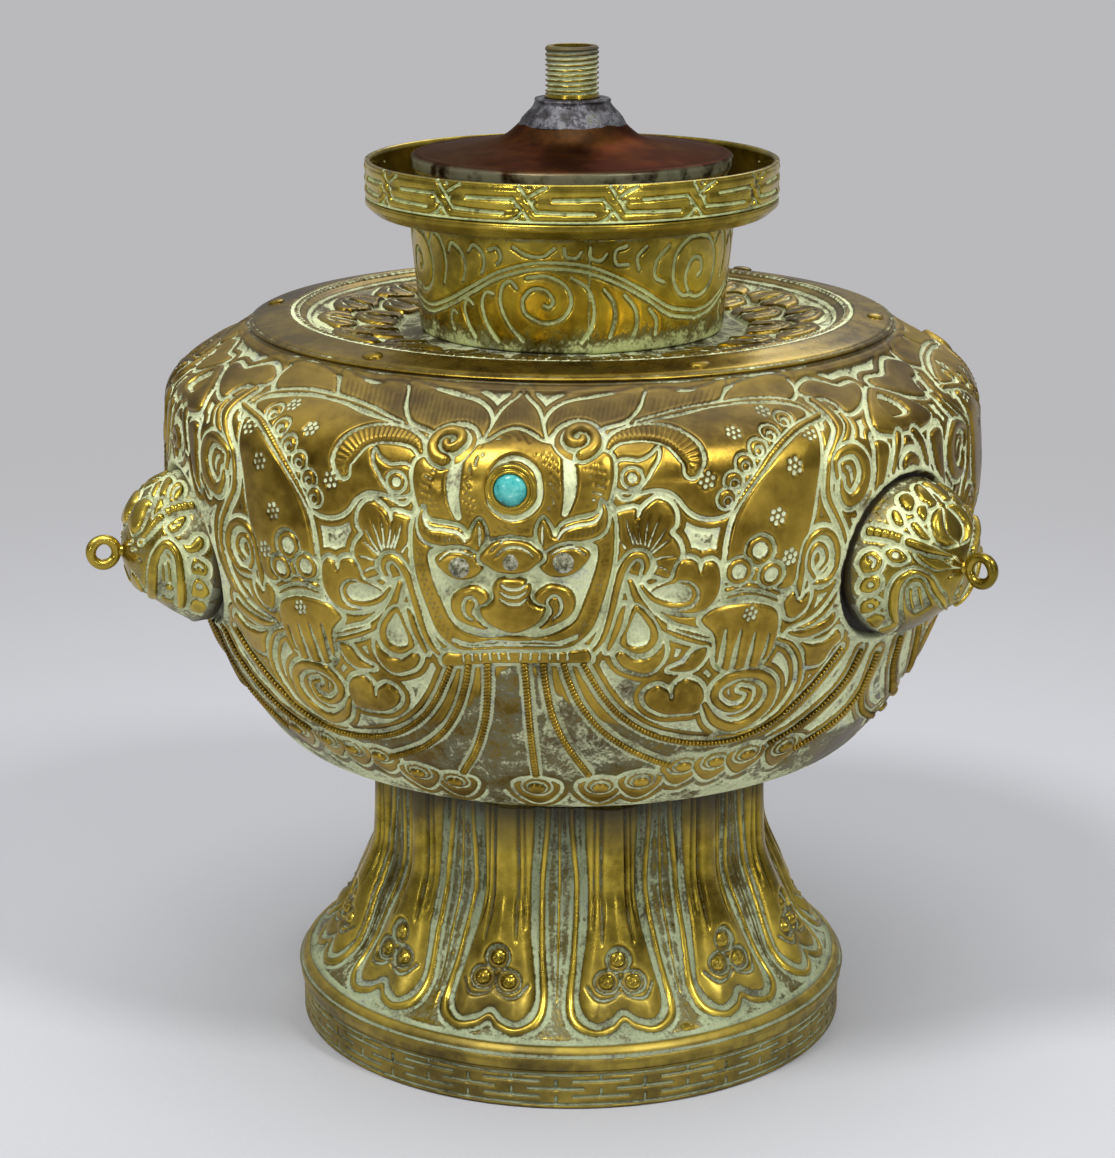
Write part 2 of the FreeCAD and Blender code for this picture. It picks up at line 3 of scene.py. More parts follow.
import bpy
import numpy as np
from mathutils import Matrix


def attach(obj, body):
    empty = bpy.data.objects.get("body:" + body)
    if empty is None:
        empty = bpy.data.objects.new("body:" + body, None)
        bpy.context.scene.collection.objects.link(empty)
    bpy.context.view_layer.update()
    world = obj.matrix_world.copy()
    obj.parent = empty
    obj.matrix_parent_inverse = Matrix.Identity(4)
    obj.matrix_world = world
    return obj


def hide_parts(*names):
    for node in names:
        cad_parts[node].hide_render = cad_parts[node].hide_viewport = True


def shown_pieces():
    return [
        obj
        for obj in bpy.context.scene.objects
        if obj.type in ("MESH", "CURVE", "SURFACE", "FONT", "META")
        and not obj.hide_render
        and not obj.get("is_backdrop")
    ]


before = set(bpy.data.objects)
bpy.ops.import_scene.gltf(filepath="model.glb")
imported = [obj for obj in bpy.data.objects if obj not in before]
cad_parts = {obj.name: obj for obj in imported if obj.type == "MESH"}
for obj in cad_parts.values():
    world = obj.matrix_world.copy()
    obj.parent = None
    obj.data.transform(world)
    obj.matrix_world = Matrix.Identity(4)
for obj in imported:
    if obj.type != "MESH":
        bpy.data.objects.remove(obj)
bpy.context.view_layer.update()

mm = 0.001
fullTurn = 2 * math.pi
up = np.array([0, 0, 1.0])

# The camera stands where the photograph was taken from: sizes in mm and degrees
viewPoint = {"azimuth": 7.75, "distance": 561.2, "height": 243.9, "dip": 15.5, "sideStep": -2.75,
             "lens": 91.68}
studio = {"floorSize": 14.0, "floorTone": (0.51, 0.515, 0.54), "farTone": (0.49, 0.49, 0.505),
          "cloudTone": (0.47, 0.475, 0.495),
          "sky": (0.20, 0.20, 0.21), "zenith": (0.62, 0.62, 0.64), "skyLight": 0.8}
# lamps: azimuth from the front, height, distance, size, watts
lamps = {
    "keyLeft": (-38, 56, 1.5, 0.34, 11.8),
    "keyRight": (42, 48, 1.5, 0.28, 9.2),
    "top": (10, 84, 1.6, 0.8, 6.5),
    "behind": (165, 40, 1.8, 0.9, 4.0),
    "lowLeft": (-33, 7, 0.5, 0.06, 0.15),
    "lowRight": (30, 7, 0.5, 0.05, 0.13),
}


materials = {}


def addNode(tree, kind, inputs=None, **settings):
    node = tree.nodes.new(kind)
    for key, value in settings.items():
        setattr(node, key, value)
    for key, value in (inputs or {}).items():
        value = getattr(value, "socket", value)
        if isinstance(value, bpy.types.NodeSocket):
            tree.links.new(value, node.inputs[key])
        else:
            node.inputs[key].default_value = value
    return node


# What a node gives out: arithmetic on it adds nodes for maths to its tree
class Value:
    def __init__(self, tree, socket):
        self.tree, self.socket = tree, socket

    def calc(self, operation, a, b=0.0):
        return made(self.tree, "ShaderNodeMath", {0: a, 1: b}, operation=operation)

    def __add__(self, other):
        return self.calc("ADD", self, other)

    def __sub__(self, other):
        return self.calc("SUBTRACT", self, other)

    def __rsub__(self, other):
        return self.calc("SUBTRACT", other, self)

    def __mul__(self, other):
        return self.calc("MULTIPLY", self, other)

    def most(self, other):
        return self.calc("MAXIMUM", self, other)

    def into(self, node, name):
        self.tree.links.new(self.socket, node.inputs[name])


def made(tree, kind, inputs=None, output=0, **settings):
    return Value(tree, addNode(tree, kind, inputs, **settings).outputs[output])


def mixTones(factor, *tones):
    low, high = (tone if isinstance(tone, Value) else tuple(tone) + (1,) for tone in tones)
    return made(factor.tree, "ShaderNodeMix", {0: factor, 6: low, 7: high}, 2, data_type="RGBA")


def mottle(place, scale, detail=4.0, rough=0.55):
    inputs = {"Vector": place, "Scale": scale, "Detail": detail, "Roughness": rough}
    return made(place.tree, "ShaderNodeTexNoise", inputs, "Fac")


def stepped(value, low, high):
    inputs = {"Value": value, "From Min": low, "From Max": high}
    return made(value.tree, "ShaderNodeMapRange", inputs, interpolation_type="SMOOTHSTEP")


def ramp(value, stops):
    node = addNode(value.tree, "ShaderNodeValToRGB", {"Fac": value})
    points = node.color_ramp.elements
    while len(points) < len(stops):
        points.new(0.5)
    for point, (place, tone) in zip(points, stops):
        point.position = place
        point.color = tone + (1.0,)
    return Value(value.tree, node.outputs["Color"])


def newMaterial(name):
    materials[name] = material = bpy.data.materials.new(name)
    material.use_nodes = True
    tree = material.node_tree
    return tree, tree.nodes["Principled BSDF"], made(tree, "ShaderNodeTexCoord", None, "Object")


def bumped(shader, height, strength, distance):
    inputs = {"Height": height, "Strength": strength, "Distance": distance}
    made(height.tree, "ShaderNodeBump", inputs, "Normal").into(shader, "Normal")


# Brass: "dull" and "bright" are the metal's tones, "gloss" its smoothest and roughest finish,
# "green" how far the verdigris spreads out of the hollows, "crusted" what tints it
brassKinds = {
    "agedBrass": dict(dull=(0.125, 0.072, 0.006), bright=(0.50, 0.34, 0.050), gloss=(0.20, 0.40),
                      green=0.07),
    "rubbedBrass": dict(dull=(0.155, 0.105, 0.008), bright=(0.58, 0.43, 0.064), gloss=(0.16, 0.34),
                        green=0.06),
    "footBrass": dict(dull=(0.125, 0.085, 0.007), bright=(0.62, 0.46, 0.062), gloss=(0.17, 0.36),
                      green=0.12, crusted=(0.62, 0.66, 0.66)),
    "keyBrass": dict(dull=(0.145, 0.100, 0.006), bright=(0.68, 0.52, 0.075), gloss=(0.14, 0.30),
                     green=0.05, crusted=(0.80, 0.83, 0.62)),
    "shoulderBrass": dict(dull=(0.130, 0.084, 0.010), bright=(0.45, 0.315, 0.045), gloss=(0.18, 0.38),
                          green=0.02),
}
patinaTones = [(0.0, (0.10, 0.09, 0.04)), (0.14, (0.30, 0.30, 0.17)), (0.30, (0.52, 0.56, 0.32)),
               (0.68, (0.72, 0.77, 0.45)), (0.86, (0.56, 0.60, 0.43)), (1.0, (0.20, 0.23, 0.25))]
# brinkShadeTone is the painted shade drawn along the crust's edges
brinkShadeTone, darkTone = (0.060, 0.045, 0.012), (0.022, 0.017, 0.010)


def makeBrass(name, dull, bright, gloss, green, crusted=(1, 1, 1)):
    tree, shader, place = newMaterial(name)
    broad, mid, fine = mottle(place, 38.0, 5.0), mottle(place, 260.0, 5.0, 0.62), mottle(place, 1700.0, 3.0)
    edge, patina, dark = (made(tree, "ShaderNodeAttribute", None, "Fac", attribute_name=layer)
                          for layer in ("edge", "patina", "dark"))
    spread = (mid - 0.5) * 0.9 + (broad - 0.5) * 0.8 + (fine - 0.5) * 0.45
    cover = stepped(patina + (green - 0.04) + spread - edge * 0.35, 0.36, 0.72)
    lift = stepped(broad * 0.75 + mid * 0.35, 0.35, 0.75) + edge * 0.55
    stain = stepped(mottle(place, 62.0, 6.0, 0.68), 0.50, 0.66)
    metal = mixTones(stain * 0.5 + patina * 0.6, mixTones(lift, dull, bright), [0.45 * v for v in dull])
    blotch = mottle(place, 95.0, 6.0, 0.65) * 0.72 + fine * 0.28
    crust = ramp(stepped(blotch, 0.30, 0.72),
                 [(at, tuple(np.multiply(tone, crusted))) for at, tone in patinaTones])
    # a dark outline painted along every edge of the crust: painted shade where the raised metal drops into the
    # green channels
    brinkShade = cover * (1.0 - cover) * 2.8
    surface = mixTones(brinkShade, mixTones(cover, metal, crust), brinkShadeTone)
    # the dark layer mixes in darkTone: painted shade in the gaps round the heads and at their seats, under the
    # vessel, below the plate and at the neck's foot, and darker places elsewhere
    mixTones(dark, surface, darkTone).into(shader, "Base Color")
    hidden = cover.most(dark)
    ((1.0 - hidden) * 0.96).into(shader, "Metallic")
    smooth = made(tree, "ShaderNodeMapRange", {"Value": mid, "To Min": gloss[0], "To Max": gloss[1]})
    (smooth + hidden * 0.45).into(shader, "Roughness")
    bumped(shader, fine * (cover * 0.8 + 0.2) + mid * 0.5, 0.35, 0.00025)


def makeCopper():
    tree, shader, place = newMaterial("brownCopper")
    stretched = made(tree, "ShaderNodeMapping", {"Vector": place, "Scale": (1.0, 1.0, 0.3)})
    cloud, mid = mottle(stretched, 34.0, 5.0), mottle(place, 210.0, 5.0, 0.65)
    value = cloud * 0.7 + mid * 0.3
    brown = ramp(stepped(value, 0.32, 0.68), [
        (0.0, (0.014, 0.007, 0.003)), (0.4, (0.034, 0.016, 0.006)), (0.7, (0.085, 0.032, 0.009)),
        (1.0, (0.055, 0.030, 0.016))])
    lilac = ramp(stepped(value, 0.35, 0.65), [
        (0.0, (0.014, 0.008, 0.005)), (0.5, (0.030, 0.018, 0.011)), (1.0, (0.076, 0.050, 0.036))])
    # the cap is browner down its middle and paler at its left and right as seen from the camera, a painted
    # reflection, and crust covers the edge below the top
    ends = {0: place, 1: (0.99, 0.135, 0.0)}
    across = made(tree, "ShaderNodeVectorMath", ends, "Value", operation="DOT_PRODUCT")
    away = across.calc("ABSOLUTE", across) + (cloud - 0.5) * 0.02
    level = made(tree, "ShaderNodeSeparateXYZ", {0: place}, "Z")
    side = stepped(level, 0.1726, 0.1716) * stepped(mid, 0.30, 0.56)
    tone = mixTones(stepped(away, 0.006, 0.026), brown, lilac)
    mixTones(side * 0.85, tone, (0.17, 0.175, 0.105)).into(shader, "Base Color")
    ((1.0 - side) * 0.9).into(shader, "Metallic")
    shader.inputs["Specular Tint"].default_value = (0.62, 0.43, 0.32, 1)
    made(tree, "ShaderNodeMapRange", {"Value": mid, "To Min": 0.24, "To Max": 0.46}).into(shader, "Roughness")
    bumped(shader, mid, 0.25, 0.0003)


def makeSolder():
    tree, shader, place = newMaterial("greySolder")
    mid, fine = mottle(place, 420.0, 5.0, 0.65), mottle(place, 1500.0, 4.0)
    tone = ramp(stepped(mid, 0.3, 0.7), [
        (0.0, (0.016, 0.013, 0.011)), (0.4, (0.045, 0.041, 0.045)), (0.72, (0.13, 0.13, 0.145)),
        (1.0, (0.10, 0.105, 0.07))])
    tone.into(shader, "Base Color")
    shader.inputs["Metallic"].default_value = 0.55
    shader.inputs["Roughness"].default_value = 0.42
    bumped(shader, mid + fine, 0.6, 0.0004)


def makeStone(name, scale, rough, stops):
    tree, shader, place = newMaterial(name)
    value = mottle(place, scale, 5.0, 0.6) * 0.75 + mottle(place, scale * 5, 3.0) * 0.25
    ramp(stepped(value, 0.3, 0.7), stops).into(shader, "Base Color")
    shader.inputs["Roughness"].default_value = rough
    bumped(shader, value, 0.2, 0.0002)


for name, tones in brassKinds.items():
    makeBrass(name, **tones)
makeCopper()
makeSolder()
makeStone("turquoise", 420.0, 0.22, [
    (0.0, (0.03, 0.10, 0.10)), (0.18, (0.03, 0.30, 0.29)), (0.5, (0.06, 0.43, 0.40)),
    (0.85, (0.14, 0.55, 0.50)), (1.0, (0.36, 0.66, 0.58))])
makeStone("paleStone", 900.0, 0.15, [
    (0.0, (0.015, 0.015, 0.012)), (0.35, (0.10, 0.095, 0.05)), (0.65, (0.27, 0.27, 0.17)),
    (1.0, (0.48, 0.49, 0.42))])
print("materials ready:", len(materials))


def monotoneLine(x, y, at):
    x, y = np.array(x, float), np.array(y, float)
    h, slope = np.diff(x), np.diff(y) / np.diff(x)
    tangent = np.zeros(len(x))
    for i in range(1, len(x) - 1):
        if slope[i - 1] * slope[i] > 0:
            a, b = 2 * h[i] + h[i - 1], h[i] + 2 * h[i - 1]
            tangent[i] = (a + b) / (a / slope[i - 1] + b / slope[i])
    tangent[0], tangent[-1] = slope[0], slope[-1]
    k = np.clip(np.searchsorted(x, at, side="right") - 1, 0, len(h) - 1)
    t = (at - x[k]) / h[k]
    return ((1 + 2 * t) * (1 - t) ** 2 * y[k] + t * (1 - t) ** 2 * h[k] * tangent[k]
            + t * t * (3 - 2 * t) * y[k + 1] + t * t * (t - 1) * h[k] * tangent[k + 1])


def lineLengths(line):
    return np.r_[0, np.cumsum(np.hypot(*np.diff(line[:, :2], axis=0).T))]


def smoothOutline(corners, count=900):
    corners = np.array(corners, float)
    run = lineLengths(corners)
    at = np.linspace(0, run[-1], count)
    return np.c_[monotoneLine(run, corners[:, 0], at), monotoneLine(run, corners[:, 1], at)]


def splinePoints(points, closed, step=0.4):
    p = np.array(points, float)
    q = np.vstack([p[-1], p, p[0], p[1]] if closed else [2 * p[0] - p[1], p, 2 * p[-1] - p[-2]])
    out = []
    for a, b, c, d in zip(q, q[1:], q[2:], q[3:]):
        count = max(2, int(np.linalg.norm((c - b)[:2]) / step))
        t = np.linspace(0, 1, count, endpoint=False)[:, None]
        out.append(0.5 * (2 * b + (c - a) * t + (2 * a - 5 * b + 4 * c - d) * t ** 2
                          + (3 * b - a - 3 * c + d) * t ** 3))
    return np.vstack(out if closed else out + [p[-1:]])


def stripPoints(points, width):
    # places with the strip's width there, along a smooth line through the given ones
    return splinePoints([tuple(p) + (() if len(p) > 2 else (width,)) for p in points], False)


def nearestOnLine(line, closed, X, Y):
    ends = np.roll(line, -1, 0) if closed else line[1:]
    best, along, third = np.full(X.shape, 1e9), np.zeros(X.shape), np.zeros(X.shape)
    run = 0.0
    for p, q in zip(line, ends):
        dx, dy = q[0] - p[0], q[1] - p[1]
        long = dx * dx + dy * dy + 1e-12
        t = np.clip(((X - p[0]) * dx + (Y - p[1]) * dy) / long, 0, 1)
        d = (X - p[0] - t * dx) ** 2 + (Y - p[1] - t * dy) ** 2
        near = d < best
        best, along = np.where(near, d, best), np.where(near, run + t * math.sqrt(long), along)
        if len(p) > 2:
            third = np.where(near, p[2] + t * (q[2] - p[2]), third)
        run += math.sqrt(long)
    return np.sqrt(best), along, third


def insideOf(line, X, Y):
    inside = np.zeros(X.shape, bool)
    for p, q in zip(line, np.roll(line, -1, 0)):
        if p[1] != q[1]:
            cross = (p[1] > Y) != (q[1] > Y)
            inside ^= cross & (X < (q[0] - p[0]) * (Y - p[1]) / (q[1] - p[1]) + p[0])
    return inside


# A sheet of chased work laid flat: heights in mm, later shapes are raised over earlier ones
class Chasing:
    def __init__(self, left, right, top, cell, ground, green=1.0):
        self.cell = cell
        self.xs, self.ys = np.arange(left, right + cell, cell), np.arange(0, top + cell, cell)
        self.height = np.full((len(self.ys), len(self.xs)), float(ground))
        self.patina = np.full(self.height.shape, float(green))
        self.away = np.full(self.height.shape, 9.0)            # distance to the nearest shape
        self.dark = np.zeros(self.height.shape)

    def window(self, line, margin):
        i = np.searchsorted(self.xs, [line[:, 0].min() - margin, line[:, 0].max() + margin])
        j = np.searchsorted(self.ys, [line[:, 1].min() - margin, line[:, 1].max() + margin])
        X, Y = np.meshgrid(self.xs[slice(*i)], self.ys[slice(*j)])
        return (slice(*j), slice(*i)), X, Y

    def put(self, at, d, top, bulge, reach, edge, channel, depth):
        low = np.clip((d + channel) / 0.25, 0, 1)
        low = low * low * (3 - 2 * low)
        height = self.height[at]
        self.away[at] = np.minimum(self.away[at], -d)
        height = height + (np.minimum(height, depth) - height) * low
        rounded = np.sqrt(1 - (1 - np.clip(d / edge, 0, 1)) ** 2)
        raised = depth + (top - depth) * rounded + bulge * (1 - np.exp(-np.clip(d, 0, None) / reach))
        self.height[at] = np.where(d > 0, raised, height)
        self.patina[at] = np.where(d > 0.16, 0, np.where(d > -channel, 1, self.patina[at]))

    def blob(self, points, top=0.0, bulge=0.0, reach=3.0, edge=0.7, channel=0.65, depth=-0.95):
        line = splinePoints(points, True)
        at, X, Y = self.window(line, 6.0)
        if X.size:
            d = nearestOnLine(line, True, X, Y)[0]
            self.put(at, np.where(insideOf(line, X, Y), d, -d), top, bulge, reach, edge, channel, depth)

    def cord(self, points, width=1.0, top=0.0, channel=0.55, depth=-0.95, edge=None, ribs=0.0, ribDepth=0.25):
        line = stripPoints(points, width)
        at, X, Y = self.window(line, line[:, 2].max() + 6.0)
        if X.size:
            d, along, wide = nearestOnLine(line, False, X, Y)
            d = wide / 2 - d
            self.put(at, d, top, 0, 3, edge or max(0.35, width * 0.45), channel, depth)
            if ribs:
                wave = ribDepth * (0.5 - 0.5 * np.cos(fullTurn * along / ribs))
                self.height[at] -= np.where(d > 0, wave, 0)

    def groove(self, points, width=0.3, depth=0.6, green=1.0):
        line = stripPoints(points, width)
        at, X, Y = self.window(line, 2 * line[:, 2].max() + 0.3)
        if X.size:
            d, along, wide = nearestOnLine(line, False, X, Y)
            cut = np.exp(-(d / (np.maximum(wide, 0.05) * 0.6)) ** 4)
            self.height[at] -= depth * cut
            self.patina[at] = np.maximum(self.patina[at], cut * green)

    def hollow(self, points, depth, soft=0.5):
        line = splinePoints(points, True)
        at, X, Y = self.window(line, soft)
        if X.size:
            d = nearestOnLine(line, True, X, Y)[0]
            k = np.clip(np.where(insideOf(line, X, Y), d, -d) / soft, 0, 1)
            self.height[at] += (depth - self.height[at]) * k
            self.patina[at] = np.maximum(self.patina[at], k)

    def disc(self, x, y, r, **form):
        turns = np.linspace(0, fullTurn, 20, endpoint=False)
        self.blob(np.c_[x + r * np.cos(turns), y + r * np.sin(turns)], **form)

    def dot(self, x, y, r, depth=0.35, green=0.8):
        at, X, Y = self.window(np.array([[x, y]]), 2 * r)
        cut = np.exp(-(np.hypot(X - x, Y - y) / r) ** 4)
        self.height[at] -= depth * cut
        self.patina[at] = np.maximum(self.patina[at], green * cut)

    def spiral(self, x, y, r0, r1, start, turns, width):
        k = np.linspace(0, 1, max(8, int(abs(turns) * 14)) + 1)
        a, r = math.radians(start) + fullTurn * turns * k, r0 + (r1 - r0) * k
        return np.c_[x + r * np.cos(a), y + r * np.sin(a), width * (1 - 0.25 * k)]

    def stipple(self, points, width, pitch=0.95, deep=0.22):
        # a strip punched all over with small dots, set by the sunflower angle so that no rows show
        line = splinePoints(points, False)
        run = lineLengths(line)
        count = int(run[-1] / pitch * width / pitch)
        for k in range(count):
            share = k * 0.618034 % 1.0 - 0.5
            at = run[-1] * (k + 0.5) / count
            x, y = np.interp(at, run, line[:, 0]), np.interp(at, run, line[:, 1])
            self.dot(x + share * width * 0.8, y + share * width * 0.6, 0.22, deep, 0.75)

    def flower(self, x, y, r):
        for k in range(7):
            a, far = math.radians(60 * k + 15), 0 if k == 6 else 1.25 * r
            u, v = x + far * math.cos(a), y + far * math.sin(a)
            self.dot(u, v, 0.52 * r, 0.3, 1.0)

    def ground(self, wide=1.4, gap=0.6, top=-0.4, depth=-0.95):
        # one flat band round every shape, crusted fields beyond it, and a smooth dark ground in the fan
        # of strings below the chin
        X, Y = np.meshgrid(self.xs, self.ys)
        far = self.away - 0.62
        d = np.minimum(far, wide - far)
        rounded = np.sqrt(1 - (1 - np.clip(d / 0.5, 0, 1)) ** 2)
        field = np.clip((far - wide - gap) / 0.6, 0, 1)
        height = depth + (top - depth) * rounded + 0.3 * field
        patina = np.where(d > 0.16, 0.1, 1.0) * (1 - field) + 0.66 * field
        chin = np.maximum(51.0 - 0.2 * np.abs(X), 61.0 - 0.9 * np.abs(X))
        fan = np.clip((chin - Y) / 1.5, 0, 1) * np.clip((Y - 23.0) / 6.0, 0, 1)
        height += (depth + 0.45 * (1 - np.exp(-np.clip(far, 0, None) / 1.1)) - height) * fan
        patina += (0.50 - patina) * fan * np.clip(far / 0.3, 0, 1)
        free = far > 0
        self.height[free], self.patina[free] = height[free], patina[free]
        self.dark[free] = 0.10 * fan[free]

    def finish(self, reach=0.9):
        # corners softened a little, then how far each place stands over its surroundings
        for name in ("height", "patina"):
            g = getattr(self, name)
            for axis in (0, 1):
                g = (np.roll(g, 1, axis) + 2 * g + np.roll(g, -1, axis)) / 4
            setattr(self, name, g)
        n = max(1, int(reach / self.cell))
        padded = np.pad(self.height, n, mode="edge")
        total = np.cumsum(np.cumsum(np.pad(padded, ((1, 0), (1, 0))), 0), 1)
        w = 2 * n + 1
        mean = (total[w:, w:] - total[:-w, w:] - total[w:, :-w] + total[:-w, :-w]) / w ** 2
        self.edge = np.clip((self.height - mean) / 0.5, -1, 1)

    def sample(self, x, y):
        fx = np.clip((x - self.xs[0]) / self.cell, 0, len(self.xs) - 1.001)
        fy = np.clip(y / self.cell, 0, len(self.ys) - 1.001)
        i, j = fx.astype(int), fy.astype(int)
        u, v = fx - i, fy - j
        out = {}
        for name in ("height", "patina", "edge", "dark"):
            g = getattr(self, name)
            out[name] = ((g[j, i] * (1 - u) + g[j, i + 1] * u) * (1 - v)
                         + (g[j + 1, i] * (1 - u) + g[j + 1, i + 1] * u) * v)
        return out


def finishPiece(piece, body, slotName, *nodes):
    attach(piece, body)
    if nodes:
        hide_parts(*nodes)


def linked(name, data):
    thing = bpy.data.objects.new(name, data)
    bpy.context.collection.objects.link(thing)
    return thing


def newPiece(name, points, faces, material, layers=None, normals=None):
    mesh = bpy.data.meshes.new(name)
    mesh.from_pydata((np.asarray(points) * mm).tolist(), [], faces)
    mesh.shade_smooth()
    for key, values in (layers or {}).items():
        mesh.attributes.new(key, "FLOAT", "POINT").data.foreach_set("value", np.ravel(values))
    if normals is not None:
        mesh.normals_split_custom_set_from_vertices(np.reshape(normals, (-1, 3)).tolist())
    mesh.materials.append(materials[material])
    return linked(name, mesh)


# A raised wall about the axis. outline: radius and level upwards, inner: back down on the inside,
# azimuths: places round it, or the sides of a whole ring, rows: places along the outline, or how
# many, field: gives height and layers at azimuths and rows
def raisedRing(name, material, outline, inner, azimuths, rows, field):
    outline, inner = np.array(outline, float), np.array(inner, float)
    run = lineLengths(outline)
    if isinstance(rows, int):
        rows = np.linspace(0, run[-1], rows)
    closed = isinstance(azimuths, int)
    if closed:
        a = np.linspace(0, 360, azimuths + 1)[:-1]
    else:
        step = azimuths[1] - azimuths[0]
        a = np.r_[azimuths[0] - step, azimuths, azimuths[-1] + step]
    r, z = np.interp(rows, run, outline[:, 0]), np.interp(rows, run, outline[:, 1])
    dr, dz = np.gradient(r, rows), np.gradient(z, rows)
    size = np.hypot(dr, dz)
    A, T = np.meshgrid(a, rows)
    found = field(A, T, z[:, None] + 0 * A)
    out = found["height"]
    radius = r[:, None] + out * (dz / size)[:, None]
    level = z[:, None] - out * (dr / size)[:, None]
    radius = np.vstack([radius, np.repeat(inner[:, :1], len(a), 1)])
    level = np.vstack([level, np.repeat(inner[:, 1:], len(a), 1)])
    turn = np.radians(a)[None, :]
    xyz = np.dstack([radius * np.sin(turn), -radius * np.cos(turn), level])
    alongRow = np.roll(xyz, -1, 1) - np.roll(xyz, 1, 1)
    upRow = np.roll(xyz, -1, 0) - np.roll(xyz, 1, 0)
    normal = np.cross(alongRow, upRow)
    normal /= np.maximum(np.linalg.norm(normal, axis=2, keepdims=True), 1e-9)
    layers = {}
    for key in ("patina", "edge", "dark"):
        values = found.get(key, np.zeros(out.shape))
        layers[key] = np.vstack([values, np.zeros((len(inner), len(a)))])
    if not closed:
        xyz, normal = xyz[:, 1:-1], normal[:, 1:-1]
        layers = {key: values[:, 1:-1] for key, values in layers.items()}
    nRows, nCols = xyz.shape[:2]
    i, j = np.meshgrid(np.arange(nRows), np.arange(nCols if closed else nCols - 1), indexing="ij")
    i2, j2 = (i + 1) % nRows, (j + 1) % nCols
    corners = [i * nCols + j, i * nCols + j2, i2 * nCols + j2, i2 * nCols + j]
    faces = np.stack(corners, -1).reshape(-1, 4).tolist()
    if not closed:
        faces.append([k * nCols for k in range(nRows)])
        faces.append([k * nCols + nCols - 1 for k in reversed(range(nRows))])
    return newPiece(name, xyz.reshape(-1, 3), faces, material, layers, normal)


# Trees of the shapes that repeat or follow a rule
def newTree(name, inputs):
    tree = bpy.data.node_groups.new(name, "GeometryNodeTree")
    tree.interface.new_socket(name="Geometry", in_out="OUTPUT", socket_type="NodeSocketGeometry")
    for label, kind in [("Geometry", "Geometry")] + inputs + [("Finish", "Material")]:
        tree.interface.new_socket(name=label, in_out="INPUT", socket_type="NodeSocket" + kind)
    return tree, tree.nodes.new("NodeGroupInput").outputs


def endTree(tree, given, geometry):
    real = made(tree, "GeometryNodeRealizeInstances", {0: geometry})
    done = made(tree, "GeometryNodeSetMaterial", {"Geometry": real, "Material": given["Finish"]})
    done.into(tree.nodes.new("NodeGroupOutput"), 0)
    return tree


def grown(name, source, tree, material, sharp=None, **values):
    modifier = source.modifiers.new("shape", "NODES")
    modifier.node_group = tree
    values["Finish"] = materials[material]
    for item in tree.interface.items_tree:
        if item.in_out == "INPUT" and item.name in values:
            modifier[item.identifier] = values[item.name]
    bpy.context.view_layer.update()
    graph = bpy.context.evaluated_depsgraph_get()
    mesh = bpy.data.meshes.new_from_object(source.evaluated_get(graph))
    source.modifiers.remove(modifier)
    bpy.data.objects.remove(source)
    mesh.name = name
    mesh.shade_smooth()
    if sharp:
        mesh.set_sharp_from_angle(angle=math.radians(sharp))
    return linked(name, mesh)


def sourceMesh(points, faces=()):
    mesh = bpy.data.meshes.new("source")
    mesh.from_pydata((np.asarray(points, float) * mm).tolist(), [], list(faces))
    mesh.materials.append(None)
    return linked("source", mesh)


def sourceLines(lines):
    curve = bpy.data.curves.new("source", "CURVE")
    curve.dimensions = "3D"
    for line in lines:
        spline = curve.splines.new("POLY")
        spline.points.add(len(line) - 1)
        spline.points.foreach_set("co", np.c_[np.asarray(line) * mm, np.ones(len(line))].ravel())
    return linked("source", curve)


def makeTurnTree():
    # a closed outline of radius and level, given as mesh points, turned about the axis
    tree, given = newTree("turnedAboutAxis", [("Sides", "Int"), ("Rings", "Int")])
    columns = Value(tree, given["Sides"]) + 1.0
    grid = made(tree, "GeometryNodeMeshGrid", {"Vertices X": given["Rings"], "Vertices Y": columns})
    index = made(tree, "GeometryNodeInputIndex")
    ring = index.calc("FLOOR", index.calc("DIVIDE", index, columns))
    side = index.calc("MODULO", index, columns)
    turn = side.calc("DIVIDE", side, given["Sides"]) * fullTurn
    links = {0: given["Geometry"], "Value": made(tree, "GeometryNodeInputPosition"), "Index": ring}
    spot = made(tree, "GeometryNodeSampleIndex", links, data_type="FLOAT_VECTOR")
    radius, level = (made(tree, "ShaderNodeSeparateXYZ", {0: spot}, axis) for axis in ("X", "Z"))
    x = radius * turn.calc("SINE", turn)
    y = radius * -1.0 * turn.calc("COSINE", turn)
    links = {"Geometry": grid, "Position": made(tree, "ShaderNodeCombineXYZ", {0: x, 1: y, 2: level})}
    links = {"Geometry": made(tree, "GeometryNodeSetPosition", links), "Distance": 1e-6}
    return endTree(tree, given, made(tree, "GeometryNodeMergeByDistance", links))


def makeRingTree():
    # a shape that lies at the front, repeated about the axis
    tree, given = newTree("repeatedAboutAxis", [("Count", "Int"), ("Start", "Float"), ("Step", "Float")])
    turn = made(tree, "GeometryNodeInputIndex") * given["Step"] + given["Start"]
    spun = made(tree, "ShaderNodeCombineXYZ", {2: turn})
    links = {"Points": made(tree, "GeometryNodePoints", {"Count": given["Count"]}),
             "Instance": given["Geometry"], "Rotation": made(tree, "FunctionNodeEulerToRotation", {0: spun})}
    return endTree(tree, given, made(tree, "GeometryNodeInstanceOnPoints", links))


def makeBeadTree():
    # flat beads strung close along every line of the source
    tree, given = newTree("beadsOnLines", [("Pitch", "Float"), ("Bead", "Vector")])
    links = {"Curve": given["Geometry"], "Length": given["Pitch"]}
    spots = addNode(tree, "GeometryNodeCurveToPoints", links, mode="LENGTH").outputs
    ball = made(tree, "GeometryNodeMeshUVSphere", {"Segments": 6, "Rings": 4, "Radius": 1.0}, "Mesh")
    links = {"Points": spots["Points"], "Instance": ball, "Rotation": spots["Rotation"],
             "Scale": given["Bead"]}
    return endTree(tree, given, made(tree, "GeometryNodeInstanceOnPoints", links))


turnTree, ringTree, beadTree = makeTurnTree(), makeRingTree(), makeBeadTree()


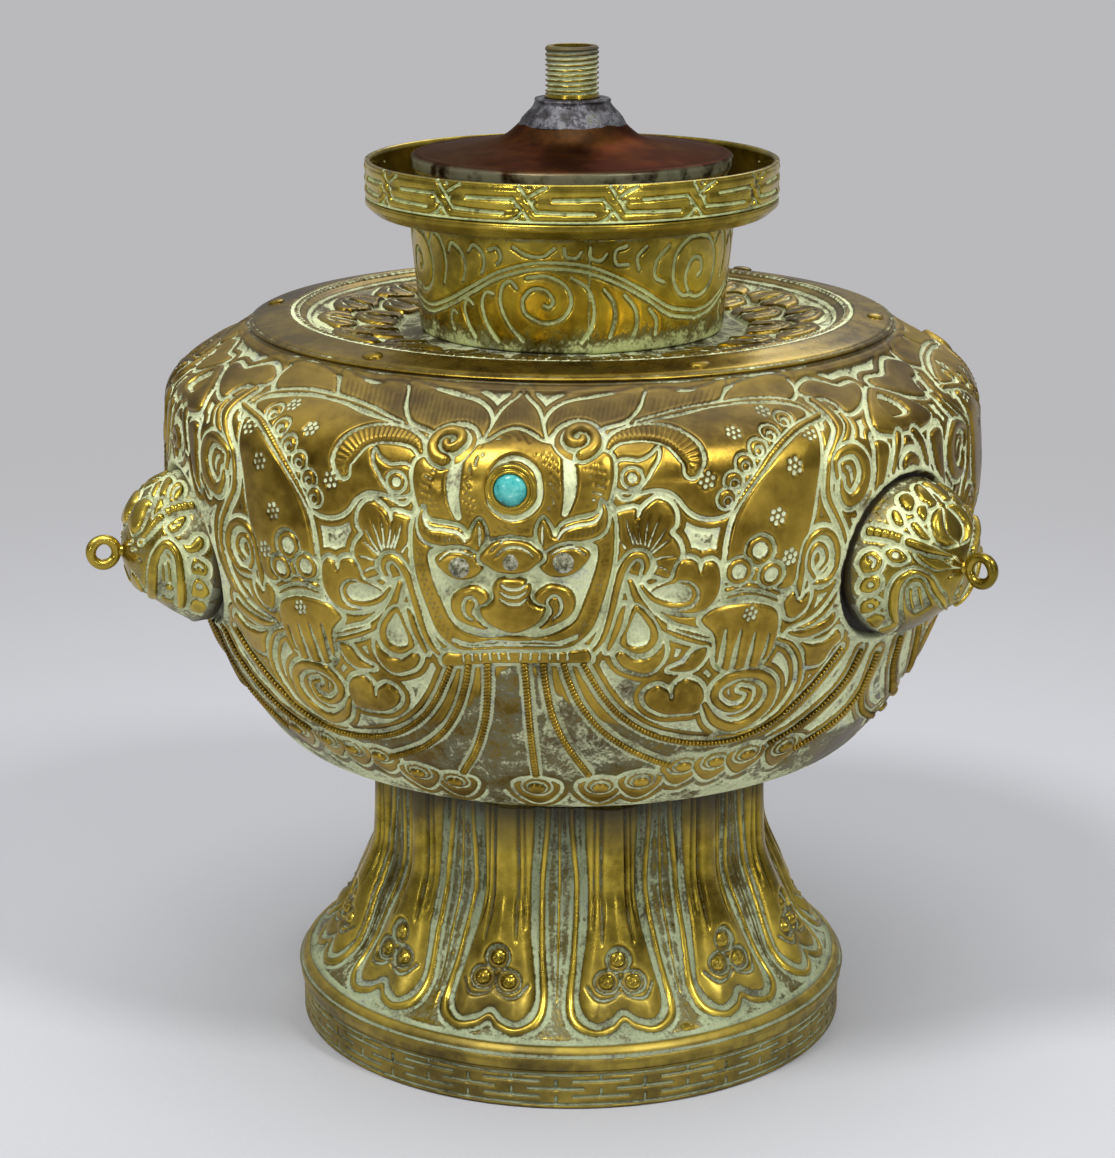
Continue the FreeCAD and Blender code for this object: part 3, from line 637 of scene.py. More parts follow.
def roundedCorners(corners, radius=0.0, steps=4):
    out = []
    n = len(corners)
    for k in range(n):
        before, here, after = (np.array(corners[(k + d) % n], float)[:2] for d in (-1, 0, 1))
        r = corners[k][2] if len(corners[k]) > 2 else radius
        a, b = before - here, after - here
        la, lb = np.linalg.norm(a), np.linalg.norm(b)
        if r <= 0:
            out.append(here)
            continue
        r = min(r, 0.45 * la, 0.45 * lb)
        p, q = here + a / la * r, here + b / lb * r
        for t in np.linspace(0, 1, steps + 1):
            out.append((1 - t) ** 2 * p + 2 * t * (1 - t) * here + t * t * q)
    return np.array(out)


def turnedPiece(name, corners, material, sides=120, sharp=35, radius=0.25):
    outline = roundedCorners(corners, radius)
    outline = np.vstack([outline, outline[:1]])
    points = np.c_[outline[:, 0], np.zeros(len(outline)), outline[:, 1]]
    return grown(name, sourceMesh(points), turnTree, material, sharp, Sides=sides, Rings=len(outline))


# The mask and what lies round it, on the vessel laid flat: a kind of shape, its form, and outlines
# as numbers in a row. Places are mm to the right of the mask's middle and mm up the outline from
# the vessel's bottom; with cords and grooves a third number is the width there, unless "widths"
# gives it
motifRows = [
    ("blob", dict(top=-0.1, channel=0.5), [5.7, 102.2, 5.3, 106.1, 6.7, 109.2, 9.8, 111.2, 14.8, 112.2, 20.9,
     113.3, 25.7, 114.1, 24.7, 110.9, 22.5, 107.9, 20.3, 106.2, 17.1, 105.1, 14.4, 104.1, 13, 105.9, 10.3,
     105.9, 7.8, 104.6], [21.4, 105.7, 24.4, 109.4, 26.4, 113.1, 29.8, 113.6, 34.9, 112.9, 40.3, 113.6, 44.7,
     114.7, 42.1, 110.6, 37.1, 109.4, 30.6, 108, 25.8, 106.2]),
    ("blob", dict(top=-0.15, channel=0.5), [42.2, 109.4, 44.7, 112.5, 50.3, 114.1, 57.1, 114.6, 60.4, 113.1,
     60.5, 110.4, 57.6, 108.4, 52.5, 108.9, 46.9, 109.2], [61.1, 110.3, 65.5, 112.3, 69.2, 111.2, 72.4, 109.5,
     77.3, 109.6, 77.5, 107.2, 72.5, 103.7, 68.1, 102.7, 67.3, 105.3, 65.8, 107.3, 63, 107.8]),
    ("blob", dict(top=0, bulge=0.3, channel=0.5), [77.9, 106.4, 89, 109.9, 102.5, 110.3, 110.4, 107.5, 105.6,
     103.6, 91.8, 99.3, 82, 96.6, 75.4, 96.3, 71.4, 99]),
    ("blob", dict(top=-0.7, edge=0.5, channel=0.45), [79.3, 104.4, 87.9, 106.5, 95.1, 105.8, 92.9, 102.9,
     84.1, 100.1, 77.7, 100]),
    ("whole", dict(top=0.15, bulge=0.2, channel=0.5), [-2, 113.3, 0.8, 112.1, 3.4, 109.2, 4.8, 105.1, 5.4,
     101.3, 3.1, 100.4, 0.1, 100.2]),
    ("blob", dict(top=-0.15, bulge=0.25, reach=3, channel=0.5), [16.6, 94.9, 16.3, 98.7, 18, 102.2, 22.1,
     104.9, 25.8, 106, 32.2, 107.1, 40.4, 108.8, 48.4, 108.6, 56, 107, 58.6, 104.4, 54.9, 101.8, 48, 97.5,
     43.2, 93.4, 40.3, 89.5, 38.8, 87.4, 35.6, 86.4, 32.7, 86.8, 30.6, 88.1, 28.4, 90.7, 25.7, 91.9, 22.2,
     91.6, 19.2, 90.7]),
    ("cord", dict(width=0.7, top=-0.1, channel=0.45), [22.9, 105.8, 0.5, 32.4, 108.2, 0.7, 41.4, 109.2, 0.7,
     50.7, 109.2, 0.7, 57.5, 107.6, 0.7, 59.8, 104.4, 0.7, 59.4, 101, 0.5]),
    ("blob", dict(top=0.05, bulge=0.55, reach=4, channel=0.6), [57.8, 101.3, 57.6, 97.8, 56, 91.8, 54.5, 84.1,
     52.4, 77.2, 50.7, 72.1, 44.5, 72.5, 38.1, 72.9, 37.5, 78.9, 38.4, 84.5, 40.4, 88.8, 43.6, 93, 48.3, 97.1,
     54, 100.4]),
    ("pearl", {}, [52.5, 103.8, 52.4, 103.1], [47.9, 101, 47.9, 100.3], [44.4, 98, 44.5, 97.5], [41.2, 95.4,
     41.4, 94.9], [38.8, 92.5, 39, 92], [37.5, 89.5, 37.8, 89]),
    ("cord", dict(width=1.2, top=0.35, ribs=0.8, ribDepth=0.28, channel=0.35), [60.7, 103.3, 1.3, 53.8, 101.1,
     1.5, 47.7, 97.4, 1.4, 43.4, 93.4, 1.1, 40.4, 89.7, 0.8, 38.9, 87.4, 0.5]),
    ("flower", dict(r=0.95), [40.7, 101.6], [33.8, 93.1], [49.2, 106.1], [50.6, 94], [46.9, 85.7], [55.6,
     99.5], [49.6, 78.2]),
    ("horn", dict(top=0.35), [16.2, 98.7, 0.5, 18.2, 101.7, 2.4, 21.8, 103, 3.6, 25.5, 103, 4.2, 28.8, 101.7,
     4.6, 30.9, 99.2, 4.8, 31.7, 96.7, 4, 31.3, 94.9, 2.6]),
    ("blob", dict(top=-0.1, channel=0.45), [16.6, 93.8, 17.3, 96.2, 19.3, 97.4, 22.1, 97.1, 24.4, 98.2, 25.8,
     99.6, 25.5, 97.4, 24.2, 95.4, 22.9, 93.4, 21.3, 91.7, 18.8, 91.9]),
    ("ringdisc", dict(r=1.7, top=0.15), [20.7, 94.1]),
    ("blob", dict(top=0.05, bulge=0.25, reach=3, channel=0.55), [16.5, 80.7, 16.3, 84.2, 17, 87, 17.8, 88.2,
     21.3, 88.8, 21.6, 87.2, 22.7, 88.9, 25, 90.4, 27.1, 89.6, 28.3, 87.7, 28.2, 85.5, 27.3, 84.4, 28.7, 82.7,
     29.3, 80.6, 28.4, 78.1, 27.2, 76, 24.4, 76.9, 22.2, 77.3, 18.8, 77.3]),
    ("groove", dict(widths=(0.4, 0.3, 0.1), depth=0.3), [22.2, 82.5, 21.7, 84.8, 21.6, 87], [23.3, 81.9, 24.3,
     84.7, 25.4, 87.4], [20.9, 82.5, 20, 85.2, 19.5, 87.3], [24, 80.9, 26.1, 82.5, 27.6, 83.4], [24.3, 79.8,
     26.4, 80.2, 28.6, 80.2], [24.6, 78.7, 26.2, 78.1, 27.5, 77.1], [19.5, 81.9, 18.5, 83.4, 17.7, 85.2],
     [23.8, 81.4, 25.5, 83.6, 26.9, 85.9], [22.8, 82.3, 23.1, 85.1, 23.6, 87.8], [21.6, 82.5, 20.9, 84.3,
     20.6, 86.2]),
    ("blob", dict(top=-0.35, channel=0.4), [20.9, 76.9, 19.2, 78.2, 19.9, 80.3, 22, 81.3, 24, 80.1, 24.6,
     78.3, 23.3, 76.6]),
    ("blob", dict(top=0.1, bulge=0.3, channel=0.55), [27.6, 76, 28.2, 77.8, 29.1, 79.3, 30.8, 79.6, 32.3,
     78.8, 32.8, 77.2, 33.4, 78.6, 35, 78.9, 36.3, 77.6, 36.8, 74.5, 36.3, 71.9, 34.5, 69.7, 31.6, 69, 27.6,
     69.9, 24.6, 71.7, 22.9, 73.6, 24.9, 74.6]),
    ("hollow", dict(depth=-0.85), [24.2, 73.5, 25.8, 74.8, 28.7, 75.4, 31.2, 74.9, 32, 72.8, 30.8, 71.2, 27.5,
     71.3]),
    ("cord", dict(width=1.2, top=0, channel=0.3), [22.5, 74.8, 0.8, 24.6, 72.4, 1.3, 27.9, 71, 1.4, 31.1,
     71.2, 1.3, 32, 73.1, 1.1, 30.8, 74.7, 0.9, 29, 75.2, 0.6]),
    ("cord", dict(width=1.5, top=0.2, channel=0.45), [20.4, 75.9, 1.2, 22, 72.1, 1.8, 24.6, 68.6, 1.9, 29,
     65.5, 1.8, 33.9, 63.3, 1.5, 36.8, 62, 0.9]),
    ("cord", dict(width=0.6, top=0, channel=0.3), [27.7, 66.8, 0.4, 31.9, 65.2, 0.7, 36.3, 63.6, 0.5]),
    ("blob", dict(top=0.05, channel=0.4), [21.3, 71.4, 23.5, 70.1, 25.5, 67.3, 26.1, 64.5, 24.7, 62.2, 22.2,
     61.5, 19.6, 62.8, 18.8, 64.5, 19.9, 67.2]),
    ("hollow", dict(depth=-0.85), [21.6, 70.3, 23.3, 68.6, 24.6, 66.2, 24.3, 63.8, 22.5, 62.9, 20.3, 63.6,
     19.9, 65.6, 20.6, 67.9]),
    ("blob", dict(top=0.15, bulge=0.3, channel=0.5), [18.1, 61.5, 19.6, 62.4, 22, 60.8, 24.4, 60.9, 26.2,
     62.5, 27.1, 64, 27.5, 61.1, 26.4, 58.7, 24.2, 57.3, 21.3, 58, 19.2, 59.3]),
    ("blob", dict(top=-0.1, channel=0.4), [16.5, 62.9, 17.4, 66.5, 18.4, 70, 19.8, 71.4, 19.5, 67.9, 18.4,
     64.5, 17.1, 62.1]),
    ("blob", dict(top=0, channel=0.45), [28.4, 57.7, 31.1, 59.2, 32.8, 61.5, 35.3, 62.2, 35.5, 60.1, 34.2, 58,
     32, 57]),
    ("blob", dict(top=0.15, bulge=0.4, reach=3, channel=0.55), [33.5, 67.5, 35.5, 69.6, 38.6, 70.3, 42.9,
     70.2, 47, 69.1, 49, 67.2, 49.5, 63.6, 49.1, 60.4, 48.1, 58, 47.2, 56.7, 46.8, 55.6, 45, 54.6, 43.6, 55.6,
     42.2, 54.9, 40.3, 56.3, 38.5, 57.2, 37.2, 59, 36.8, 62, 36.1, 64.5]),
    ("groove", dict(depth=1), [38.4, 65.5, 0.3, 38.4, 61.4, 0.9, 38.4, 56.7, 1], [41.4, 65.1, 0.3, 41, 60.7,
     0.9, 41, 55.6, 1], [44.3, 64.3, 0.3, 44.1, 59.8, 0.9, 44.1, 54.9, 1], [47.4, 63.5, 0.3, 47.2, 59.8, 0.8,
     46.9, 56, 1]),
    ("flower", dict(r=0.85), [42.8, 68.2]),
    ("cord", dict(width=1.1, top=0.3, channel=0.35), [37.9, 73.1, 1, 40.8, 73.8, 1.2, 44.4, 73.1, 1.2, 48.3,
     71.3, 1]),
    ("cord", dict(width=0.7, top=0.1, channel=0.3), [38.1, 71.5, 0.6, 41.2, 72, 0.7, 44.7, 71.4, 0.7, 48.4,
     69.7, 0.6]),
    ("ringdisc", dict(r=2.7, top=0.35), [43.7, 79.9]),
    ("ringdisc", dict(r=2.5, top=0.35), [39.9, 76.5]),
    ("ringdisc", dict(r=2.4, top=0.35), [46.2, 75.2]),
    ("cord", dict(width=1.2, top=0.05, channel=0.45), [62.4, 107.3, 1.5, 63.3, 105.2, 2, 63.8, 102.7, 2.2,
     63.3, 99.4, 2.2, 60.8, 96.6, 1.6, 58.6, 94.1, 1.3, 57.9, 90.7, 1.3, 58.2, 87.4, 1.3, 60, 84, 1.2, 61.8,
     80.5, 1.1, 62.7, 76.3, 1, 62.6, 71.7, 1, 60.9, 67.3, 1, 57.4, 64.3, 0.9, 52.3, 62.8, 0.7]),
    ("cord", dict(width=1.4, top=0.05, channel=0.35), [66, 102.8, 1, 65.6, 99.9, 1.6, 63.6, 97.4, 1.6, 61.1,
     95.9, 0.8]),
    ("cord", dict(width=0.9, top=-0.05, channel=0.4), [70.4, 96.7, 0.7, 70.2, 93.1, 0.9, 69.7, 89.6, 0.9,
     68.5, 87, 0.7, 65.9, 84.1, 0.6]),
    ("cord", dict(width=2, top=0.1, channel=0.45), [60.2, 90.7, 1, 59.8, 93.6, 1.4, 61.9, 95.2, 2, 64.8, 95.2,
     2.5, 66.6, 93, 2.6, 67, 90.1, 2.7, 65.6, 87.2, 2.9, 63, 86.2, 2.6, 61.3, 88.1, 1.6, 61.1, 90.2, 0.8]),
    ("cord", dict(width=1.6, top=0.1, channel=0.45), [52.8, 68.6, 1, 52.7, 72.6, 1.6, 52.8, 76.7, 1.7, 53.6,
     80, 1.7, 56.3, 81.6, 1.7, 58.9, 80.7, 1.7, 60.4, 77.8, 1.7, 60.4, 74.4, 1.6, 58.7, 72.2, 1.5, 56.1, 72.1,
     1.3]),
    ("cord", dict(width=1.2, top=0.05, channel=0.35), [55.8, 73.1, 1, 54.2, 75.4, 1.2, 54.2, 78, 1.3, 55.7,
     79.4, 1.3, 57.4, 78.6, 1.2, 58, 76.3, 1.1, 56.8, 74.6, 0.8]),
    ("blob", dict(top=0, channel=0.45), [49.8, 69.5, 51.8, 71.1, 53.1, 69.2, 55.3, 70.6, 55.2, 67.5, 52.8,
     65.7, 50.9, 66.2]),
    ("blob", dict(top=-0.05, channel=0.4), [51.8, 62.8, 55.8, 63, 59.8, 63.9, 62.4, 65.4, 62.6, 63, 59.6,
     61.5, 55.4, 61]),
    ("blob", dict(top=0, channel=0.45), [55.2, 60.4, 58.7, 59.4, 62, 59.8, 64, 61.5, 65.8, 59.4, 63.8, 57.3,
     62.2, 54.6, 58.2, 54.6, 56.8, 57.8]),
    ("cord", dict(width=1.2, top=0.05, channel=0.45), [49.9, 61.9, 0.9, 53.4, 60.1, 1.2, 56.3, 56.2, 1.3,
     57.4, 51.2, 1.3, 55.6, 46.1, 1.3, 51.8, 42.6, 1.2, 46.1, 41.3, 1, 41, 41.4, 0.7]),
    ("blob", dict(top=0.1, bulge=0.3, channel=0.5), [25, 50.1, 24, 52.4, 25, 54.1, 26.9, 54.6, 29, 53.3, 29.7,
     51.6, 29.8, 54.2, 31.6, 55.7, 34.2, 55, 36.1, 52.7, 36.4, 49.5, 34.9, 47.9, 32, 47.8, 28.3, 48.1]),
    ("cord", dict(width=2.2, top=0.1, channel=0.45), [36.7, 49.5, 1.3, 39.6, 45.4, 2.4, 44.1, 43.3, 2.7, 48.4,
     44.6, 2.7, 51.2, 47.8, 2.6, 50.9, 51.9, 2.4, 47.2, 54.7, 2.3, 42.3, 55.2, 2.3, 38.9, 53.3, 2.2, 38.9,
     50.2, 2, 42.2, 47.7, 1.8, 45.5, 48.3, 1.7, 46.2, 50.9, 1.4, 43.9, 52.1, 0.9]),
    ("bed", dict(width=1.2), [12.5, 59.7, 14, 56.7, 16.6, 52.2, 20.4, 47.7, 26.4, 43.5, 33.1, 41, 40.6, 39.7,
     48, 40.3, 54.5, 43, 59.3, 47.2, 63.3, 51.8, 66.7, 56.7], [8.9, 59.7, 10, 55.6, 12.2, 50.5, 16.2, 45,
     21.8, 40.3, 27.7, 36.8, 31.6, 35], [5.2, 59.6, 5.6, 54.5, 6.8, 47.8, 9.4, 41.2, 14.1, 33.3]),
    ("bed", dict(width=1.2, mirror=False), [1.7, 59.5, 1.9, 54.3, 2.1, 45.4, 2.5, 33.1]),
    ("bed", dict(width=1.2), [73.3, 54.8, 71.5, 48.6, 66.9, 43.7, 61.2, 39.7, 55.7, 37], [79.7, 52.6, 79.8,
     44.7, 76.1, 39.2, 69.7, 35.5, 64.8, 33.5], [86, 51, 91, 41.7, 89.6, 34.1, 82.4, 29.9]),
    ("pendant", dict(r=2.5), [17, 29.5], [35.2, 34.3], [43, 34.5], [50.7, 35.1], [61.2, 34.9], [26.1, 30.8]),
    ("pendant", dict(r=2.6, mirror=False), [2.4, 29.2]),
    ("whole", dict(top=-0.1, bulge=0.2, reach=2, channel=0.6), [0.5, 95.4, 8.6, 95.6, 16, 90.4, 17.6, 87,
     17.8, 82.1, 17.1, 76.8, 15.9, 72, 14.4, 67.3, 12, 64.4, 8.9, 62.8, 0.1, 62.3]),
    ("wholeHollow", dict(depth=-0.95), [0.6, 82.5, 6.1, 82.2, 10.7, 83.4, 14.4, 83, 15.1, 80.8, 14.1, 76.5,
     12.6, 72, 11.1, 68.5, 8.2, 66.2, 4.3, 64.9, 0.2, 65.2]),
    ("stipple", dict(width=1.6), [16.3, 83.5, 15.8, 78.2, 14.4, 73.1, 13.2, 68.9, 11.1, 65.4, 8.5, 63.8]),
    ("cord", dict(width=0.5, top=0.15, channel=0.3), [0.1, 63.8, 0.5, 4.1, 64.1, 0.6, 7.8, 64, 0.5, 11.1,
     65.4, 0.3]),
    ("cord", dict(width=1.4, top=0.35, channel=0.45), [13.8, 61.9, 0.7, 16, 65.3, 1.3, 17.3, 70.3, 1.5, 18.2,
     75.3, 1.6, 19.2, 78.6, 1.7, 20.9, 80.6, 1.7, 22.7, 80.4, 1.6, 23.3, 78.8, 1.3, 22.8, 77.3, 0.9]),
    ("whole", dict(top=0.2, bulge=0.75, reach=4, edge=1, channel=0.55), [-0.3, 103.9, 2.5, 103.1, 4.9, 101.3,
     7.8, 100.5, 9.6, 98.1, 12, 97.7, 15.2, 99.2, 17.3, 98.4, 17.8, 95.8, 17.4, 92.5, 16.5, 89.8, 14.8, 88.4,
     11.6, 87.6, 9, 86.7, 6.5, 84.6, 0.6, 83.2]),
    ("groove", dict(depth=0.9), [9.6, 98.1, 1.6, 10, 94.9, 2.2, 10, 91.5, 1.9, 9.2, 88.1, 1.1]),
    ("curl", dict(r=3.6, top=0.95), [11.6, 101.8]),
    ("stipple", dict(width=3), [13.8, 96.6, 14.9, 94.2, 14.8, 91.5, 13.4, 89.8]),
    ("stipple", dict(width=2.2), [5, 98.7, 7.2, 95.6, 7.5, 91.3, 6.3, 88.4]),
    ("stipple", dict(width=3.6, mirror=False), [-4.3, 101, -0.1, 102.1, 4.3, 101.3]),
    ("stipple", dict(width=3, mirror=False), [-2.7, 85.6, 0.6, 85, 3.5, 85.7]),
    ("groove", dict(depth=0.7, mirror=False), [-3.8, 92.1, 0.9, -3.4, 89.7, 0.9, -1.6, 87.8, 0.9, 0.6, 87.2,
     0.9, 2.8, 88, 0.9, 4.6, 89.9, 0.9, 5, 92.3, 0.9, 4.5, 94.9, 0.9, 2.7, 96.7, 0.9, 0.3, 97.4, 0.9, -1.9,
     96.6, 0.9, -3.4, 94.6, 0.9, -3.8, 92.4, 0.9]),
    ("blob", dict(top=0.6, bulge=0.25, edge=0.8, channel=0.45), [5.3, 79, 5.4, 81.4, 4.6, 83.2, 4.3, 85.2,
     5.4, 87.4, 6.8, 85.9, 7.5, 84.2, 8.6, 86, 10.9, 87, 13.7, 87.6, 15.1, 88.8, 15.4, 90.4, 16.6, 88.4, 16.5,
     85.9, 15.1, 84.1, 12.3, 83.2, 9.7, 82.9, 7.2, 81.1]),
    ("groove", dict(depth=0.55), [7.9, 83.6, 0.3, 9, 85.3, 0.6, 11.4, 86.2, 0.6, 14.1, 86.7, 0.6, 15.4, 88.4,
     0.4, 15.4, 90, 0.2]),
    ("groove", dict(depth=0.5), [5.4, 82.5, 0.3, 5.3, 84.2, 0.5, 5.4, 86.3, 0.3]),
    ("groove", dict(widths=(0.1, 0.2, 0.1), depth=0.25), [9.4, 83.6, 9.7, 84.3, 9.8, 84.9], [10.4, 83.8, 10.5,
     84.5, 10.7, 85.2], [11.2, 83.9, 11.4, 84.6, 11.5, 85.3], [12, 84.1, 12.2, 84.8, 12.3, 85.5], [12.9, 84.3,
     13, 84.9, 13.2, 85.6], [13.7, 84.6, 13.8, 85.3, 14.1, 86], [14.5, 85.3, 14.8, 85.9, 14.9, 86.7]),
    ("blob", dict(top=0.15, bulge=0.6, reach=2, channel=0.45), [4.6, 78.9, 5.9, 81.1, 7.9, 82.5, 10.4, 82.9,
     13, 82, 13.7, 80.8, 12.6, 79, 10.8, 77.4, 8.6, 76.7, 6.3, 77]),
    ("groove", dict(depth=0.4), [6.5, 80.8, 0.2, 8.6, 82, 0.4, 10.9, 82.2, 0.4, 12.7, 80.9, 0.2]),
    ("blob", dict(top=0.55, bulge=0.5, reach=2, edge=0.9, channel=0.5), [2.3, 70.3, 3.2, 72.7, 4.5, 74.6, 6.5,
     75.9, 9, 75.5, 10.8, 74.1, 11.2, 71.6, 10, 69.3, 7.1, 67.5, 4.3, 66.9]),
    ("groove", dict(depth=0.75), [3.9, 67.1, 0.9, 5.6, 69, 0.9, 6.7, 70.8, 0.7, 6.1, 72.5, 0.5, 7, 73.7, 0.5,
     8.1, 73.5, 0.5, 8.6, 72, 0.5, 8.2, 70.4, 0.4, 7, 69.3, 0.3]),
    ("whole", dict(top=0.75, bulge=0.7, reach=2.5, edge=1.1, channel=0.5), [0.6, 77.1, 2.4, 76.6, 3.6, 74.9,
     3.4, 73.1, 4.5, 71.9, 6, 71.2, 5.4, 69, 3.2, 67, 0.2, 65.9]),
    ("groove", dict(depth=0.5, mirror=False), [-1.9, 75.9, 0.2, -0.6, 75, 0.5, 0.5, 74.9, 0.5, 1.7, 75.1, 0.5,
     3, 76, 0.2], [-1.9, 74.5, 0.2, -0.8, 73.7, 0.5, 0.5, 73.5, 0.5, 1.7, 73.8, 0.5, 3, 74.8, 0.2], [-2, 73.2,
     0.2, -0.8, 72.4, 0.5, 0.5, 72.2, 0.5, 1.7, 72.4, 0.5, 3, 73.5, 0.2]),
    ("whole", dict(top=0.65, bulge=0.4, reach=2, channel=0.45), [0.6, 83.8, 2.8, 83.3, 4.8, 82, 5.7, 80.4,
     4.2, 78.8, 2.5, 77.6, 0.6, 77.2]),
    ("groove", dict(depth=0.4, mirror=False), [-2.7, 80.5, 0.2, -1.3, 81.8, 0.4, 0.6, 82.3, 0.5, 2.5, 81.9,
     0.4, 3.9, 80.7, 0.2]),
    ("groove", dict(depth=0.3, mirror=False), [-3.4, 81.6, 0.2, -1.6, 83.1, 0.3, 0.6, 83.6, 0.3, 2.8, 83.3,
     0.3, 4.6, 82, 0.2]),
    ("whole", dict(top=0.05, edge=0.4, channel=0.5), [0.1, 62.2, 8.5, 62.4, 13.2, 62.8, 13.6, 60.1, 8.5, 59.9,
     -0.1, 59.7]),
    ("groove", dict(depth=0.5), [1.2, 62, 0.3, 1, 60.5, 0.3], [3, 62.1, 0.3, 2.8, 60.6, 0.3], [4.6, 62.1, 0.3,
     4.5, 60.6, 0.3], [6.4, 62.2, 0.3, 6.4, 60.7, 0.3], [7.9, 62.2, 0.3, 7.9, 60.7, 0.3], [9.6, 62.2, 0.3,
     9.6, 60.7, 0.3]),
    ("groove", dict(widths=(0.1, 0.2, 0.1), depth=0.2, green=0.45), [6.5, 105.1, 6.8, 106.4, 7.2, 109], [7.5,
     105.1, 7.8, 106.6, 8.2, 109.2], [8.3, 105.1, 8.7, 106.9, 9.3, 109.5], [9.3, 105.1, 9.7, 107.1, 10.3,
     109.8], [10.3, 105.1, 10.7, 107.5, 11.2, 110], [11.2, 105.1, 11.6, 107.7, 12.3, 110.2], [12.2, 105.1,
     12.6, 107.9, 13.3, 110.5], [13.2, 105.1, 13.7, 108.2, 14.4, 110.7], [14.1, 105.4, 14.7, 108.5, 15.4,
     110.9], [15.1, 105.6, 15.6, 108.7, 16.5, 111.2], [16, 105.8, 16.7, 108.9, 17.6, 111.4], [17, 106.1, 17.7,
     109.2, 18.5, 111.6], [18, 106.3, 18.8, 109.4, 19.6, 111.9], [18.9, 106.5, 19.8, 109.6, 20.7, 112.1], [20,
     106.8, 20.9, 109.9, 21.8, 112.2], [21, 107, 21.8, 110, 22.9, 112.5], [22.1, 107.2, 22.9, 110.2, 24,
     112.7], [23.1, 107.4, 24, 110.5, 25.1, 112.9]),
    ("groove", dict(widths=(0.1, 0.2, 0.1), depth=0.2, green=0.45, mirror=False), [-6, 104.1, -6.1, 104.9,
     -5.7, 105.6], [-5.2, 104.2, -5.4, 105.3, -5.2, 106.3], [-4.5, 104.2, -4.8, 105.7, -4.6, 107.1], [-3.6,
     104.3, -4.1, 106.1, -4.1, 107.8], [-3, 104.3, -3.4, 106.5, -3.5, 108.5], [-2.1, 104.4, -2.7, 106.9, -3,
     109.3], [-1.4, 104.4, -1.9, 107.3, -2.3, 110], [-0.6, 104.4, -1.2, 107.8, -1.7, 110.7], [0.1, 104.4,
     -0.3, 107.6, -0.9, 110.4], [0.9, 104.4, 0.5, 107.2, -0.1, 109.8], [1.6, 104.5, 1.3, 106.9, 0.8, 109.1],
     [2.4, 104.5, 2.1, 106.5, 1.6, 108.4], [3.1, 104.5, 3, 106.2, 2.4, 107.7], [3.9, 104.5, 3.8, 105.8, 3.2,
     107.1], [4.6, 104.6, 4.6, 105.5, 3.9, 106.4]),
    ("groove", dict(widths=(0.1, 0.2, 0.1), depth=0.2, green=0.45), [26.1, 107.8, 27.1, 109.8, 28, 111.5],
     [27.5, 108, 28.3, 109.9, 29.4, 111.6], [28.7, 108.2, 29.7, 110.1, 30.8, 111.8], [30, 108.2, 30.9, 110.2,
     32.2, 111.9], [31.2, 108.4, 32.3, 110.4, 33.5, 112.1], [32.6, 108.5, 33.7, 110.5, 34.9, 112.2], [33.8,
     108.7, 34.9, 110.6, 36.3, 112.3], [35.2, 108.8, 36.3, 110.8, 37.7, 112.4], [36.6, 108.9, 37.7, 110.9, 39,
     112.6], [37.8, 109, 39, 110.9, 40.6, 112.6], [39.2, 109.2, 40.6, 111.1, 41.9, 112.7]),
    ("blob", dict(top=-0.1), [70.3, 95.8, 73.7, 94.9, 72.8, 90.2, 70.8, 85.6, 68.8, 84, 69.7, 90.4]),
    ("blob", dict(top=-0.3, edge=0.4), [76.6, 96.3, 78.4, 96.2, 76.9, 92.7, 75.4, 89.4, 74.2, 89.6]),
    ("curl", dict(r=2.4, top=0.1), [79.6, 89.5]),
]

wallForm = {
    "bottom": 53.9, "height": 87.0, "radius": 78.9, "mouth": 52.6, "thick": 3.3, "ground": -0.95,
    "outline": [(0, .459), (.038, .592), (.079, .720), (.160, .800), (.261, .867), (.390, .926),
                (.524, .971), (.679, .999), (.829, .994), (.888, .966), (.928, .910), (.962, .845), (1, .779)],
    "patternEdge": 58.0, "calmEdge": 40.0, "cell": 0.16,
}
heads = {
    "left": {"azimuth": -62.0, "level": 102.36, "wall": 77.18, "gap": 0.5, "shift": 0.0},
    "right": {"azimuth": 58.0, "level": 106.36, "wall": 77.98, "gap": 0.9, "shift": -0.6},
    "rear": {"azimuth": 180.0, "level": 104.36, "wall": 77.58, "gap": 0.5, "shift": 0.0},
}
headForm = {"halfWide": 15.6, "halfHigh": 14.4, "depth": 11.7, "seat": 2.6}
# the wall is plain at both edges and has a seam below the plate: places up the outline
wallEdges = {"plain": ((112.9, 113.3), (3.0, -1.0)), "seam": 115.3, "seamWide": 0.45, "seamDeep": 0.35,
             "shadeStart": 97.0, "shadeWide": 9.0, "shade": 0.5}
# round every head lies a sunk gap with a flat lip beyond it
pitForm = {"halfWidth": 15.0, "deep": -1.7, "slope": 0.35, "lipAway": 0.9, "lipWide": 0.8, "lip": -0.35}
bodyOutline = smoothOutline([(wallForm["radius"] * r, wallForm["bottom"] + wallForm["height"] * h)
                             for h, r in wallForm["outline"]], 1500)
bodyRun = lineLengths(bodyOutline)


def outlinesOf(rows):
    for kind, given, *lines in rows:
        form = dict(given)
        widths = form.pop("widths", ())
        across = 3 if kind in ("cord", "groove", "horn") and not widths else 2
        for line in lines:
            points = np.reshape(line, (-1, across))
            yield kind, dict(form), np.c_[points, widths] if widths else points


def motifs():
    # every outline with the side that it is drawn on: most are drawn again mirrored
    for kind, form, points in outlinesOf(motifRows):
        mirrored = form.pop("mirror", not kind.startswith("whole"))
        for side in (1, -1) if mirrored else (1,):
            yield kind, dict(form), points * np.r_[side, np.ones(points.shape[1] - 1)], side


